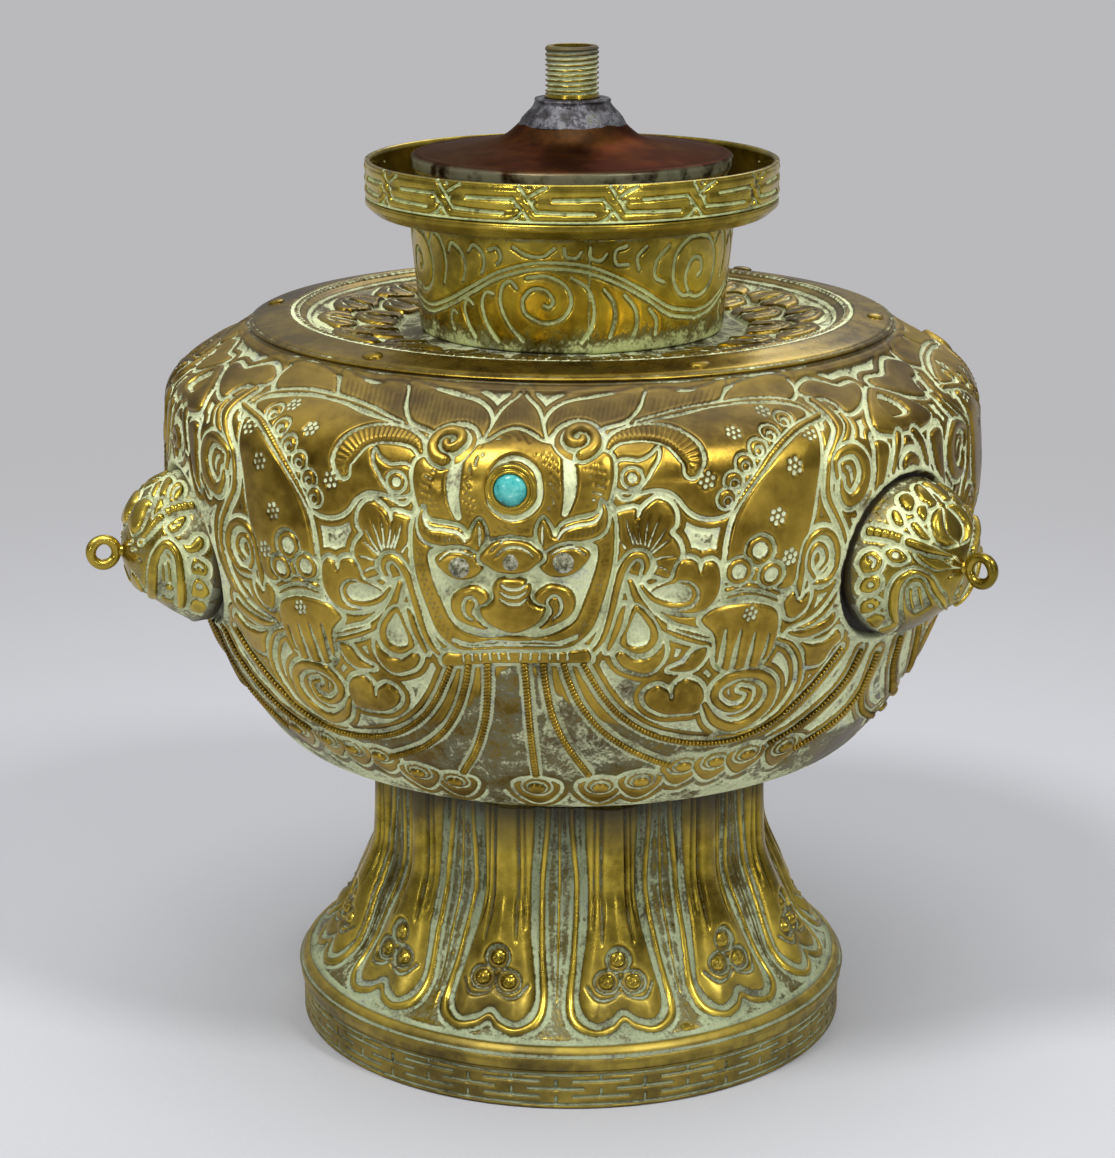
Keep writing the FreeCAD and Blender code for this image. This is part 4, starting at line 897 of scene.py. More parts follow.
def drawMotif(work, kind, form, points, side):
    x, y = points[0][:2]
    turns = np.linspace(0, fullTurn, 18, endpoint=False)
    if kind == "ringdisc":
        r = form.pop("r")
        work.disc(x, y, r, edge=0.55, channel=0.5, **form)
        work.dot(x, y, r * 0.62, depth=0.75, green=1)
        work.dot(x, y, r * 0.3, depth=-0.25, green=0.6)
    elif kind == "pearl":
        work.disc(x, y, 1.75, top=0.1, edge=0.7, channel=0.45)
        work.disc(*points[1], 0.8, top=-0.5, edge=0.4, channel=0.25)
    elif kind == "flower":
        work.flower(x, y, **form)
    elif kind in ("whole", "wholeHollow"):
        # the right half is given, from the top down
        both = list(points) + [(-a, b) for a, b in points[-2:0:-1]]
        both[0], both[len(points) - 1] = (0, points[0][1]), (0, points[-1][1])
        getattr(work, "blob" if kind == "whole" else "hollow")(both, **form)
    elif kind == "horn":
        work.cord(points, 1, top=form["top"], channel=0.5, ribs=0.95, ribDepth=0.32, edge=1.2)
    elif kind == "bed":
        work.cord(points, form["width"], top=-0.6, channel=0.55, edge=0.4)
    elif kind == "pendant":
        r = form["r"]
        leaf = [(-2.0, 0.3), (-1.7, -1.1), (0, -2.4), (1.7, -1.1), (2.0, 0.3), (0, 0.9)]
        work.blob([(x + r * u, y + r * v) for u, v in leaf], top=-0.45, edge=0.4, channel=0.5)
        for wide, high, raised in ((1.3, 0.95, dict(top=-0.3, edge=0.4, channel=0.5)),
                                   (0.85, 0.6, dict(top=0.1, bulge=0.5, reach=1.2, edge=0.7, channel=0.4))):
            work.blob(np.c_[x + wide * r * np.cos(turns), y + high * r * np.sin(turns)], **raised)
    elif kind == "curl":
        r = form["r"]
        work.disc(x, y, r + 1.0, top=-0.95, edge=0.6, channel=0.5)
        line = work.spiral(x, y, r, r * 0.2, -80 if side > 0 else 260, side * 1.2, 2.6)
        work.cord(line, top=form["top"], channel=0.4, edge=1.0, depth=-0.8)
    else:
        getattr(work, kind)(points, **form)


def drawFace():
    span = math.radians(wallForm["patternEdge"]) * wallForm["radius"]
    work = Chasing(-span - 1, span + 1, bodyRun[-1], wallForm["cell"], wallForm["ground"])
    for motif in motifs():
        drawMotif(work, *motif)
    work.ground()
    work.finish()
    return work


faceWork = drawFace()
print("chased pattern drawn:", faceWork.height.shape)


# how far each copy of the pattern reaches to its left and right, by the azimuth of its middle:
# the copies meet at the heads
sectors = {0: (62.0, 58.0), 120: (62.0, 60.0), 240: (60.0, 58.0)}


def patternPlace(azimuth):
    # where an azimuth lies on the flat pattern
    start = sectors[0][0]
    a = (azimuth + start) % 360.0 - start
    calm, rel = wallForm["calmEdge"], np.zeros(a.shape)
    for middle, (low, high) in sectors.items():
        off = a - middle
        far = np.abs(off) - calm
        edge = np.where(off < 0, low, high)
        squeezed = np.sign(off) * (calm + far * (wallForm["patternEdge"] - calm) / (edge - calm))
        rel = np.where((off >= -low) & (off < high), np.where(far > 0, squeezed, off), rel)
    return np.radians(rel) * wallForm["radius"]


# each mask was chased a little askew: its left side hangs lower, but for the pattern's edges, which
# are given as a place and the length that it fades over
askew = {"drop": 2.0, "turns": 16.0, "left": (-79.9, 18.0), "bottom": (28.0, 12.0), "top": (113.0, 8.0)}


def hangs(s, t):
    (left, leftFade), (low, lowFade), (high, highFade) = askew["left"], askew["bottom"], askew["top"]
    k = np.clip(-s / askew["turns"], 0, 1)
    share = k * k * (3 - 2 * k) * np.clip((s - left) / leftFade, 0, 1)
    return askew["drop"] * share * np.clip((t - low) / lowFade, 0, 1) * np.clip((high - t) / highFade, 0, 1)


def wallField(azimuth, rows, level):
    s = patternPlace(azimuth)
    found = faceWork.sample(s, rows + hangs(s, rows))
    for low, high in wallEdges["plain"]:
        plain = np.clip((rows - low) / (high - low), 0, 1)
        found["height"] = found["height"] * (1 - plain) - 0.05 * plain
        found["patina"] = found["patina"] * (1 - plain) + plain * 0.15
    seam = np.exp(-((rows - wallEdges["seam"]) / wallEdges["seamWide"]) ** 4)
    found["height"] -= wallEdges["seamDeep"] * seam
    found["patina"] = np.maximum(found["patina"], 0.5 * seam)
    shade = wallEdges["shade"] * np.clip((rows - wallEdges["shadeStart"]) / wallEdges["shadeWide"], 0, 1)
    dark = np.maximum(found["dark"], shade * (1 - 0.4 * found["patina"]))
    for head in heads.values():
        away = (azimuth - head["azimuth"] + 180.0) % 360.0 - 180.0
        u = np.radians(away) * head["wall"] - head["shift"]
        v = level - head["level"]
        beyond = (np.hypot(u / headForm["halfWide"], v / headForm["halfHigh"]) - 1) * pitForm["halfWidth"]
        beyond = beyond - head["gap"]
        pit = 1 - np.clip(beyond / pitForm["slope"], 0, 1)
        lip = np.exp(-((beyond - pitForm["lipAway"]) / pitForm["lipWide"]) ** 2)
        found["height"] = found["height"] * (1 - lip) + pitForm["lip"] * lip
        found["patina"] = np.maximum(found["patina"], lip)
        found["height"] = found["height"] + (pitForm["deep"] - found["height"]) * pit
        # the sunk gap round each head is painted dark: painted shade between head and wall
        dark = np.maximum(dark, pit * (1 if head["gap"] > 0.8 else 0.6))
    found["dark"] = dark
    return found


def buildWall():
    rows = np.r_[np.linspace(0, 8, 9)[:-1], np.linspace(8, 106, 316)[:-1], np.linspace(106, bodyRun[-1], 34)]
    keep = np.linspace(len(bodyOutline) - 1, 0, 16).astype(int)
    slope = np.gradient(bodyOutline, axis=0)
    slope /= np.hypot(*slope.T)[:, None]
    skin = (bodyOutline + wallForm["thick"] * np.c_[-slope[:, 1], slope[:, 0]])[keep[1:]]
    top, bottom, mouth = bodyOutline[-1, 1], wallForm["bottom"], wallForm["mouth"]
    inner = [(57.0, top - 0.1), (mouth, top - 0.1), (mouth, top - 1.3)]
    inner += [place for place in skin.tolist() if place[1] > bottom + 1.3]
    inner += [(bodyOutline[0, 0] - 1.0, bottom + 1.3), (bodyOutline[0, 0] - 1.0, bottom)]
    # the first third, which the photograph shows, has the narrower columns
    edges = [-62, -32, -2, 28, 58, 118, 178, 238, 298]
    for n, (start, end) in enumerate(zip(edges, edges[1:]), 1):
        azimuths = np.linspace(start, end, (185 if end <= 58 else 160) + 1)
        wall = raisedRing(f"vase_wall_{n}", "agedBrass", bodyOutline, inner, azimuths, rows, wallField)
        finishPiece(wall, "vase", "aged_brass", "body_shell")
    corners = [(20.0, 53.95), (37.0, 53.95), (37.0, 55.1), (20.0, 55.1)]
    finishPiece(turnedPiece("vase_floor", corners, "agedBrass", 96), "vase", "aged_brass", "body_shell")


buildWall()
print("vessel wall built")


def bearings(turn):
    # outward and to the right, at a turn from the front
    return np.array([math.sin(turn), -math.cos(turn), 0]), np.array([math.cos(turn), math.sin(turn), 0])


def alongOutline(outline, t):
    # radius and level at a length along an outline, and how they change there
    run = lineLengths(outline)
    values = [outline[:, 0], outline[:, 1], np.gradient(outline[:, 0], run), np.gradient(outline[:, 1], run)]
    return [np.interp(t, run, value) for value in values]


def surfacePoint(azimuth, t, lift):
    r, z, dr, dz = alongOutline(bodyOutline, t)
    r, z = r + lift * dz, z - lift * dr
    a = np.radians(azimuth)
    return np.stack([r * np.sin(a), -r * np.cos(a), z], -1)


def azimuthOf(s, middle):
    # the reverse of patternPlace, for one copy of the pattern
    rel = np.degrees(s / wallForm["radius"])
    low, high = sectors[middle]
    calm = wallForm["calmEdge"]
    edge = np.where(rel < 0, low, high)
    far = np.abs(rel) - calm
    away = np.sign(rel) * (calm + far * (edge - calm) / (wallForm["patternEdge"] - calm))
    return middle + np.where(far > 0, away, rel)


strings = {"pitch": 0.74, "bead": (0.80, 0.62, 0.40), "lift": -0.42}


def buildStrings():
    lines = []
    for kind, form, points, side in motifs():
        if kind != "bed":
            continue
        flat = splinePoints(points, False)
        s, t = flat[np.abs(flat[:, 0]) < math.radians(wallForm["patternEdge"]) * wallForm["radius"]].T
        if len(s) > 3:                                         # the others lie past the pattern's edge
            lines += [surfacePoint(azimuthOf(s, middle), t - hangs(s, t), strings["lift"])
                      for middle in sectors]
    piece = grown("beaded_strings", sourceLines(lines), beadTree, "agedBrass", Pitch=strings["pitch"] * mm,
                  Bead=tuple(v * mm for v in strings["bead"]))
    finishPiece(piece, "vase", "aged_brass")


buildStrings()
print("strings strung")

# The foot: one petal laid flat, x across it at the reference radius and y up the slope from the lip
footForm = {
    "lipRadius": 55.0, "waistRadius": 37.0, "slopeFoot": 9.1, "top": 53.9, "petals": 12,
    "reference": 45.0, "firstEdge": 4.2,
    "outline": [(0, 1), (.04, .94), (.085, .82), (.14, .66), (.22, .47), (.40, .26), (.65, .04), (1, 0)],
}
footSlope = smoothOutline([(footForm["waistRadius"] + (footForm["lipRadius"] - footForm["waistRadius"]) * r,
                            footForm["slopeFoot"] + (footForm["top"] - footForm["slopeFoot"]) * h)
                           for h, r in footForm["outline"]])
footRun = lineLengths(footSlope)
petalWide = fullTurn / footForm["petals"] * footForm["reference"]
knobs = {"places": [(0.0, 20.4), (-2.5, 16.2), (2.6, 15.9)], "radius": 1.75}


def drawPetal():
    half, top = petalWide / 2, footRun[-1] + 1
    work = Chasing(-half, half, top, 0.13, 0.15, 0.62)
    over = top + 4

    def bothSides(right):
        return list(right) + [(-x, y) for x, y in right[-2::-1]]

    rim = [(8.6, over), (8.6, 34), (9.3, 22), (10.2, 13), (9.2, 7.8), (5.4, 5.3), (1.8, 6.2), (0, 7.9)]
    inside = [(7.7, over), (7.7, 34), (8.3, 22), (9.0, 13), (8.1, 8.9), (5.2, 6.6), (2.0, 7.5), (0, 9.2)]
    panel = [(5.4, over), (5.5, 34), (6.0, 26), (6.9, 20.5), (7.8, 14), (7.1, 10), (5.0, 7.9), (2.2, 8.8),
             (0, 10.6)]
    work.blob(bothSides(rim), top=0.8, edge=1.1, channel=0.8, depth=-0.1)
    work.hollow(bothSides(inside), 0.1, 0.6)
    work.blob(bothSides(panel), top=0.8, bulge=2.0, reach=3.0, edge=2.2, channel=0.4, depth=0.1)
    for x, low, wide in ((-2.7, 23.5, 0.9), (2.9, 23.5, 0.8), (-4.2, 26.0, 0.5), (4.2, 26.0, 0.5)):
        line = [(x * 0.9, over), (x, 38), (x, low + 6, wide), (x * 1.15, low, wide * 0.3)]
        work.groove(line, wide, 0.55, 0.2)
    work.groove([(-6.2, 15.4), (-4.2, 12.4), (-1.7, 12.8), (0, 14.0), (1.7, 12.8), (4.2, 12.4), (6.2, 15.4)],
                0.8, 0.4, 0.5)
    for x in (-6.6, 6.6):
        work.groove([(x, over), (x, 34), (x * 1.1, 24)], 0.5, 0.3, 0)
    for x, y in knobs["places"]:
        work.disc(x, y, 2.35, top=1.6, edge=0.6, channel=0.4, depth=1.0)
        work.dot(x, y, 1.9, depth=0.5, green=0.8)
    for x in (-half, half):
        work.cord([(x, over, 0.7), (x, 26, 0.7), (x, 12, 0.3)], 0.6, top=0.35, channel=0.4, depth=-0.1)
    X, Y = np.meshgrid(work.xs, work.ys)
    slope = np.clip((3.9 - Y) / 0.4, 0, 1)                     # the plain lip below the petals
    work.height += (0.75 - work.height) * slope
    work.patina = np.minimum(work.patina, 0.48 - 0.07 * np.clip((12 - Y) / 6, 0, 1)) * (1 - slope)
    work.patina += 0.22 * np.exp(-((Y - 7.0) / 4.5) ** 4 - (X / 9.5) ** 8)
    for level, wide, deep in ((4.2, 0.55, 0.35), (1.5, 0.3, 0.3)):
        line = np.exp(-((Y - level) / wide) ** 4)
        work.height -= deep * line
        work.patina = np.maximum(work.patina, line)
    work.dark = 0.32 * np.exp(-(X / 7.6) ** 4 - ((Y - 13.0) / 8.0) ** 4)
    work.finish(1.2)
    return work


petalWork = drawPetal()


def footField(azimuth, rows):
    pitch = 360.0 / footForm["petals"]
    across = (azimuth - footForm["firstEdge"]) / pitch % 1.0 - 0.5
    found = petalWork.sample(across * petalWide, rows)
    found["height"] = found["height"] * np.clip(rows / 0.8, 0, 1)
    # painted shadow under the vessel, and darker on the lip
    shade = np.maximum(0.9 * np.clip((rows - footRun[-1] + 10.0) / 9.0, 0, 1),
                       0.36 * np.clip((4.4 - rows) / 0.5, 0, 1))
    found["dark"] = np.maximum(found["dark"], shade)
    return found


def buildFoot():
    outline = np.vstack([[(53.2, 7.85), (54.6, 7.85), (55.0, 8.25)], footSlope])
    lead = lineLengths(outline)[3]
    rows = np.r_[0, 1.0, 1.5, 1.9, np.linspace(lead, lead + footRun[-1], 132)]
    inside = [(33.5, 53.85), (30.0, 53.85), (30.0, 52.6), (35.0, 52.4), (36.4, 38.0), (40.0, 25.0),
              (46.5, 15.0), (52.0, 9.6), (53.2, 8.6)]
    for n in (1, 2):
        azimuths = footForm["firstEdge"] + 180.0 * (n - 1) + np.linspace(0, 180.0, 6 * 79 + 1)
        piece = raisedRing(f"petal_foot_{n}", "footBrass", outline, inside, azimuths, rows,
                           lambda a, t, z: footField(a, np.maximum(t - lead, 0)))
        finishPiece(piece, "vase", "rubbed_brass", "foot_shell")


buildFoot()


def gridFaces(rings, sides, base=0, joined=False):
    # quads between rings of points that follow each other; joined: the last ring meets the first
    def at(i, j):
        return base + i % rings * sides + j % sides

    return [(at(i, j), at(i, j + 1), at(i + 1, j + 1), at(i + 1, j))
            for i in range(rings if joined else rings - 1) for j in range(sides)]


def domeFaces(rings, sides):
    # rings closed by a flat bottom and a last point on top
    last = (rings - 1) * sides
    top = [(last + j, last + (j + 1) % sides, rings * sides) for j in range(sides)]
    return gridFaces(rings, sides) + top + [tuple(reversed(range(sides)))]


def ringPoints(radius, sides, level):
    return [(radius * math.cos(fullTurn * j / sides), radius * math.sin(fullTurn * j / sides), level)
            for j in range(sides)]


def domeMesh(rings, sides, radius, high, foot=0.0, start=0.0, power=1.0):
    # a round cap with its height along z, whose first ring lies at foot
    points = []
    for k in range(rings):
        lean = k / rings * math.pi / 2
        level = start + high * math.sin(lean) if k else foot
        points += ringPoints(radius * math.cos(lean) ** power, sides, level)
    return np.array(points + [(0.0, 0.0, start + high)]), domeFaces(rings, sides)


def seated(points, spot, across, outward):
    # moves a shape with its height along z to a spot of the surface
    across, outward = np.array(across, float), np.array(outward, float)
    outward /= np.linalg.norm(outward)
    across -= outward * across.dot(outward)
    across /= np.linalg.norm(across)
    up = np.cross(outward, across)
    return np.array(spot) + points[:, :1] * across + points[:, 1:2] * up + points[:, 2:] * outward


def spiralKnob(rings, sides, radius, high):
    points, faces = domeMesh(rings, sides, radius, high)
    away = np.hypot(points[:, 0], points[:, 1]) / radius
    turn = np.arctan2(points[:, 1], points[:, 0]) / fullTurn
    points[:, 2] -= 0.16 * high * (0.5 + 0.5 * np.cos(fullTurn * (away * 2.1 - turn))) * (away > 0.12)
    points[:, 2] = np.maximum(points[:, 2], 0)
    points[:sides, 2] = -0.4
    return points, faces


def joinedMeshes(meshes):
    points, faces = [], []
    for shape, these in meshes:
        faces += [tuple(len(points) + i for i in face) for face in these]
        points += shape.tolist()
    return points, faces


def buildKnobs():
    meshes = []
    for x, y in knobs["places"]:
        r, z, dr, dz = alongOutline(footSlope, y)
        away, across = bearings(x / footForm["reference"])
        out = away * dz - up * dr
        shape, faces = spiralKnob(7, 18, knobs["radius"], 1.5)
        meshes.append((seated(shape, away * r + up * z + out * 0.75, across, out), faces))
    pitch = fullTurn / footForm["petals"]
    piece = grown("petal_knobs", sourceMesh(*joinedMeshes(meshes)), ringTree, "rubbedBrass", 50,
                  Count=footForm["petals"], Start=pitch / 2 + math.radians(footForm["firstEdge"]), Step=pitch)
    finishPiece(piece, "vase", "rubbed_brass")


buildKnobs()

# The band under the foot, with its fret of chased lines
bandForm = {"radius": 54.4, "inside": 52.8, "height": 7.8, "units": 20, "line": 0.44, "deep": 0.42}


def drawFret():
    unit = fullTurn * bandForm["radius"] / bandForm["units"]
    work = Chasing(-unit / 2, unit / 2, bandForm["height"] + 1, 0.1, 0.0, 0.0)
    # bars by their middle, level and length, and uprights by their place and ends: shares of a unit
    bars = ((0.25, 2.55, 0.62), (0.75, 4.1, 0.62), (0.25, 5.65, 0.62))
    uprights = ((0.25, 2.55, 4.1), (-0.25, 4.1, 5.65), (0.75, 4.1, 5.65), (-0.25, 1.2, 2.5), (0.25, 5.7, 6.8))
    for shift in (-1, 0, 1):
        for level in (1.0, 6.9):
            work.groove([((shift - 0.6) * unit, level), ((shift + 0.6) * unit, level)], 0.4, 0.35)
        lines = [(x - long / 2, level, x + long / 2, level) for x, level, long in bars]
        for x, y, x2, y2 in lines + [(x, low, x, high) for x, low, high in uprights]:
            ends = [((shift + x) * unit, y), ((shift + x2) * unit, y2)]
            work.groove(ends, bandForm["line"], bandForm["deep"])
    work.finish(0.6)
    return work, unit


def buildBand():
    work, unit = drawFret()
    r, h = bandForm["radius"], bandForm["height"]

    def field(azimuth, rows, level):
        across = azimuth * bandForm["units"] / 360.0 % 1.0 - 0.5
        found = work.sample(across * unit, np.clip(level, 0, h))
        found["dark"] = 0.42 * (1 - 0.5 * found["patina"])
        return found

    outline = [(r - 0.5, 0.0), (r, 0.35), (r, h)]
    rows = np.r_[0, np.linspace(0.45, 0.61 + h - 0.35, 34)]
    inner = [(bandForm["inside"], h), (bandForm["inside"], 0.3), (bandForm["inside"] + 0.3, 0.0)]
    piece = raisedRing("fret_band", "footBrass", outline, inner, 900, rows, field)
    finishPiece(piece, "vase", "rubbed_brass", "foot_band")


buildBand()
print("foot built")

# Shoulder plate: ring with rivets, a step, and a sunk bed with petals round the neck
plateForm = {"petals": 16, "cell": 0.2, "ticks": 11}
plateOutline = smoothOutline([
    (61.9, 140.75), (61.6, 141.35), (60.4, 141.75), (57.0, 142.35), (54.0, 142.9), (52.6, 142.95),
    (51.9, 142.3), (50.6, 142.0), (48.0, 141.4), (41.0, 140.1), (34.5, 139.4), (31.0, 139.12),
    (28.0, 139.12)], 700)


def buildPlate():
    run = lineLengths(plateOutline)
    span = 360.0 / plateForm["petals"]
    reference = 45.0
    unit = math.radians(span) * reference
    work = Chasing(-unit / 2, unit / 2, run[-1] + 1, plateForm["cell"], 0.0, 0.0)

    def place(radius):
        return float(np.interp(-radius, -plateOutline[:, 0], run))

    low = place(49.6)
    X, Y = np.meshgrid(work.xs, work.ys)
    bed = np.clip((Y - low + 0.6) / 0.6, 0, 1)
    work.height -= 0.8 * bed
    work.patina = np.maximum(work.patina, 0.62 * bed)
    # two rings of petals, broad outside and half a petal over inside, each with a rib and side strokes
    for shift, start, tall, wide in ((0.0, low + 0.6, 7.6, 0.47), (0.5, low + 7.0, 8.6, 0.40)):
        for x in ((shift - 1) * unit, shift * unit, (shift + 1) * unit):
            lobe = [(x + across * wide * unit, start + share * tall) for across, share in
                    ((-1, 1), (-1, 0.45), (-0.6, 0.15), (0, 0), (0.6, 0.15), (1, 0.45), (1, 1))]
            work.blob(lobe, top=0.1, bulge=0.5, reach=2.0, edge=0.8, channel=0.6, depth=-0.9)
            rib = [(x, start + 2.4, 0.5), (x, start + 4.5, 1.8), (x, start + tall, 1.0)]
            work.cord(rib, 1.2, top=0.85, channel=0.4, depth=-0.2)
            for side in (-1, 1):
                work.groove([(x + side * 0.14 * unit, start + 2.2), (x + side * 0.25 * unit, start + 3.6),
                             (x + side * 0.27 * unit, start + 6.0)], 0.5, 0.45)
    for radius, wide, deep in ((61.4, 0.5, 0.2), (53.6, 0.38, 0.35), (50.4, 0.45, 0.4), (52.3, 0.25, 0.0)):
        line = np.exp(-((Y - place(radius)) / wide) ** 4)
        work.height -= deep * line
        work.patina = np.maximum(work.patina, line * (0.45 if radius > 60 else 1))
    for k in range(plateForm["ticks"]):
        x = (k / plateForm["ticks"] - 0.5) * unit + 0.4
        work.groove([(x, place(53.4)), (x + 0.15, place(52.8)), (x + 0.3, place(52.2))], 0.32, 0.25)
    work.finish()

    def field(azimuth, rows, level):
        across = azimuth / span % 1.0 - 0.5
        found = work.sample(across * unit, rows)
        found["height"] *= np.clip(rows / 0.9, 0, 1) * np.clip((run[-1] - rows) / 4.0, 0, 1)
        # towards the neck the plate gets crust, and painted shade at the neck's foot
        low = np.clip((rows - run[-1] + 7.0) / 4.0, 0, 1)
        found["patina"] = np.maximum(found["patina"], 0.62 * low)
        found["dark"] = 0.3 * low
        return found

    rows = np.r_[np.linspace(0, 13, 40)[:-1], np.linspace(13, run[-1], 58)]
    inner = [(27.95, 139.3), (27.9, 143.3), (26.9, 143.3), (26.9, 138.1), (36.0, 138.0), (48.0, 139.9),
             (50.8, 140.9), (53.0, 141.3), (60.6, 140.7)]
    piece = raisedRing("shoulder_ring", "shoulderBrass", plateOutline, inner, 576, rows, field)
    finishPiece(piece, "vase", "aged_brass", "shoulder_plate")


buildPlate()


def buildRivets():
    points, faces = domeMesh(5, 16, 1.7, 0.62, -0.3)
    points[:, 0] *= 1.25
    points = seated(points, (0, -58.19, 142.25), (1, 0, 0), (0, -0.14, 1))
    piece = grown("plate_rivets", sourceMesh(points, faces), ringTree, "shoulderBrass", 40, Count=6,
                  Start=math.radians(30), Step=fullTurn / 6)
    finishPiece(piece, "vase", "aged_brass", "shoulder_rivets")


buildRivets()
print("shoulder built")

# Neck cup, engraved three times round with a wave, its spirals and their strokes
neckForm = {"low": 29.1, "high": 31.1, "foot": 139.2, "height": 21.5, "line": 0.62, "deep": 0.4,
            "start": 1.5}
# x and y in turn
neckStrokes = [
    [-31.4, 6.2, -27, 6.6, -21, 8.6, -15, 11.6, -9.4, 14.6, -3, 16.6, 2.5, 16.9, 8, 16.2, 13, 14.2, 18.5,
     11.2, 24.5, 7.6, 31.4, 6.2],
    [-31.4, 4.9, -27, 5.4, -21, 7.5, -15, 10.5, -9.4, 13.5, -3, 15.5, 2.5, 15.8, 8, 15, 13, 13, 18.5, 10,
     24.5, 6.3, 31.4, 4.9],
    [-3.6, 14, 0.2, 14.4, 3.6, 12.6, 4.6, 9.6, 3, 6.6, -0.6, 5.6, -3.9, 7.2, -4.5, 9.8, -2.6, 11.9, 0, 11.7,
     1.3, 9.8, 0.5, 8.6, -0.4, 9],
    [-5.6, 12, -6.8, 13.2, -8.4, 12.2, -9, 9, -7.4, 5, -4.6, 2.2],
    [-10.4, 10.6, -12, 10.8, -13, 8.6, -12.2, 5, -9.8, 1.6],
    [-15.2, 8.2, -16.4, 9, -17.4, 7.2, -16.6, 4.4, -15, 2],
    [-19.6, 6, -20.6, 6.6, -21.4, 5, -20.6, 3],
    [4.6, 14.2, 7.6, 12.2, 8.8, 8.8, 8.4, 5, 6.6, 2.2],
    [10.6, 12, 12.4, 9.6, 12.9, 6.6, 12, 3],
    [14.6, 10.8, 16.8, 8, 17.2, 5, 16.4, 2.2],
    [19.8, 7.8, 21.4, 5.6, 21.4, 3],
    [30, 9.4, 27, 9.8, 24.8, 13, 25.2, 17.6, 28.2, 20.2, 31.4, 20.4],
    [-31.4, 20.4, -28.4, 19.4, -26.2, 15.6, -27, 11, -30.4, 9, -33.4, 9.6, -35, 13, -33.6, 16.2, -31.2, 16,
     -30.6, 13.8, -31.6, 13],
    [-26.6, 18.6, -25, 20.6, -22.8, 19.4, -21.6, 15.6, -22.6, 11.4],
    [-20.6, 17.6, -19.6, 19.2, -17.4, 18, -16.4, 15.2, -17.2, 12.6],
    [-15.4, 18.2, -14.2, 19.4, -12.4, 18.2, -12, 16, -12.6, 14.4],
    [-10.8, 18.8, -9.2, 19.2, -8.4, 17.6, -9.2, 16.4],
    [-6, 19.6, -3.4, 18.2, -0.6, 18, 1.6, 19.6],
    [3.4, 19.6, 3.6, 18.2, 5.4, 17.8, 6.4, 19],
    [8, 19.8, 8, 18, 9.8, 17.4, 11, 18.6],
    [14.6, 19.8, 12.6, 19, 12.8, 16.6, 15, 16.4],
    [18.6, 19.6, 16.8, 17.8, 17.2, 15.4],
    [23.4, 19.4, 20.8, 16.8, 20.6, 13.8, 22.6, 12.6],
]


def buildNeck():
    unit = fullTurn / 3 * 30.0
    work = Chasing(-unit / 2, unit / 2, neckForm["height"] + 1, 0.14, 0.0, 0.0)
    for stroke in neckStrokes:
        for shift in (-unit, 0, unit):
            work.groove(np.reshape(stroke, (-1, 2)) + (shift, 0), neckForm["line"], neckForm["deep"])
    X, Y = np.meshgrid(work.xs, work.ys)
    work.patina = np.maximum(work.patina, 0.68 * np.clip((7.5 - Y) / 7.0, 0, 1))
    work.patina = np.maximum(work.patina, 0.55 * np.clip((Y - 19.6) / 1.5, 0, 1))
    work.finish(0.7)
    low, high, foot = neckForm["low"], neckForm["high"], neckForm["foot"]
    top = foot + neckForm["height"]

    def field(azimuth, rows, level):
        across = ((azimuth + neckForm["start"]) / 120.0 + 0.5) % 1.0 - 0.5
        found = work.sample(across * unit, np.clip(level - foot, 0, neckForm["height"]))
        seam = np.radians((azimuth - 13.5 + 180) % 360 - 180) * 30          # lapped seam of the sheet
        found["height"] = found["height"] + 0.28 * (seam > 0) * np.clip(1 - seam / 6.0, 0, 1) - 0.02
        found["patina"] = np.maximum(found["patina"], 0.7 * np.exp(-((seam) / 0.3) ** 2))
        return found

    outline = [(low - 0.2, foot), (low, foot + 0.3), (high, top - 0.3), (high - 0.2, top)]
    inner = [(high - 1.0, top), (low - 1.0, foot)]
    piece = raisedRing("engraved_neck", "keyBrass", outline, inner, 720, 70, field)
    finishPiece(piece, "neck", "rubbed_brass", "neck_cup")


buildNeck()

# Rim band: a running key with a crossing between its units
rimForm = {"radius": 39.5, "low": 164.5, "high": 171.5, "units": 15, "start": -4.1}
keyLines = [
    [(0.28, 0.60), (0.55, 0.61), (0.82, 0.62), (0.93, 0.34), (1.03, 0.04)],
    [(-0.10, 0.96), (-0.01, 0.64), (0.09, 0.30), (0.40, 0.27), (0.72, 0.26)],
    [(0.00, 0.66), (0.09, 0.80), (0.20, 0.93)],
    [(0.79, 0.05), (0.88, 0.16), (0.93, 0.32)],
]


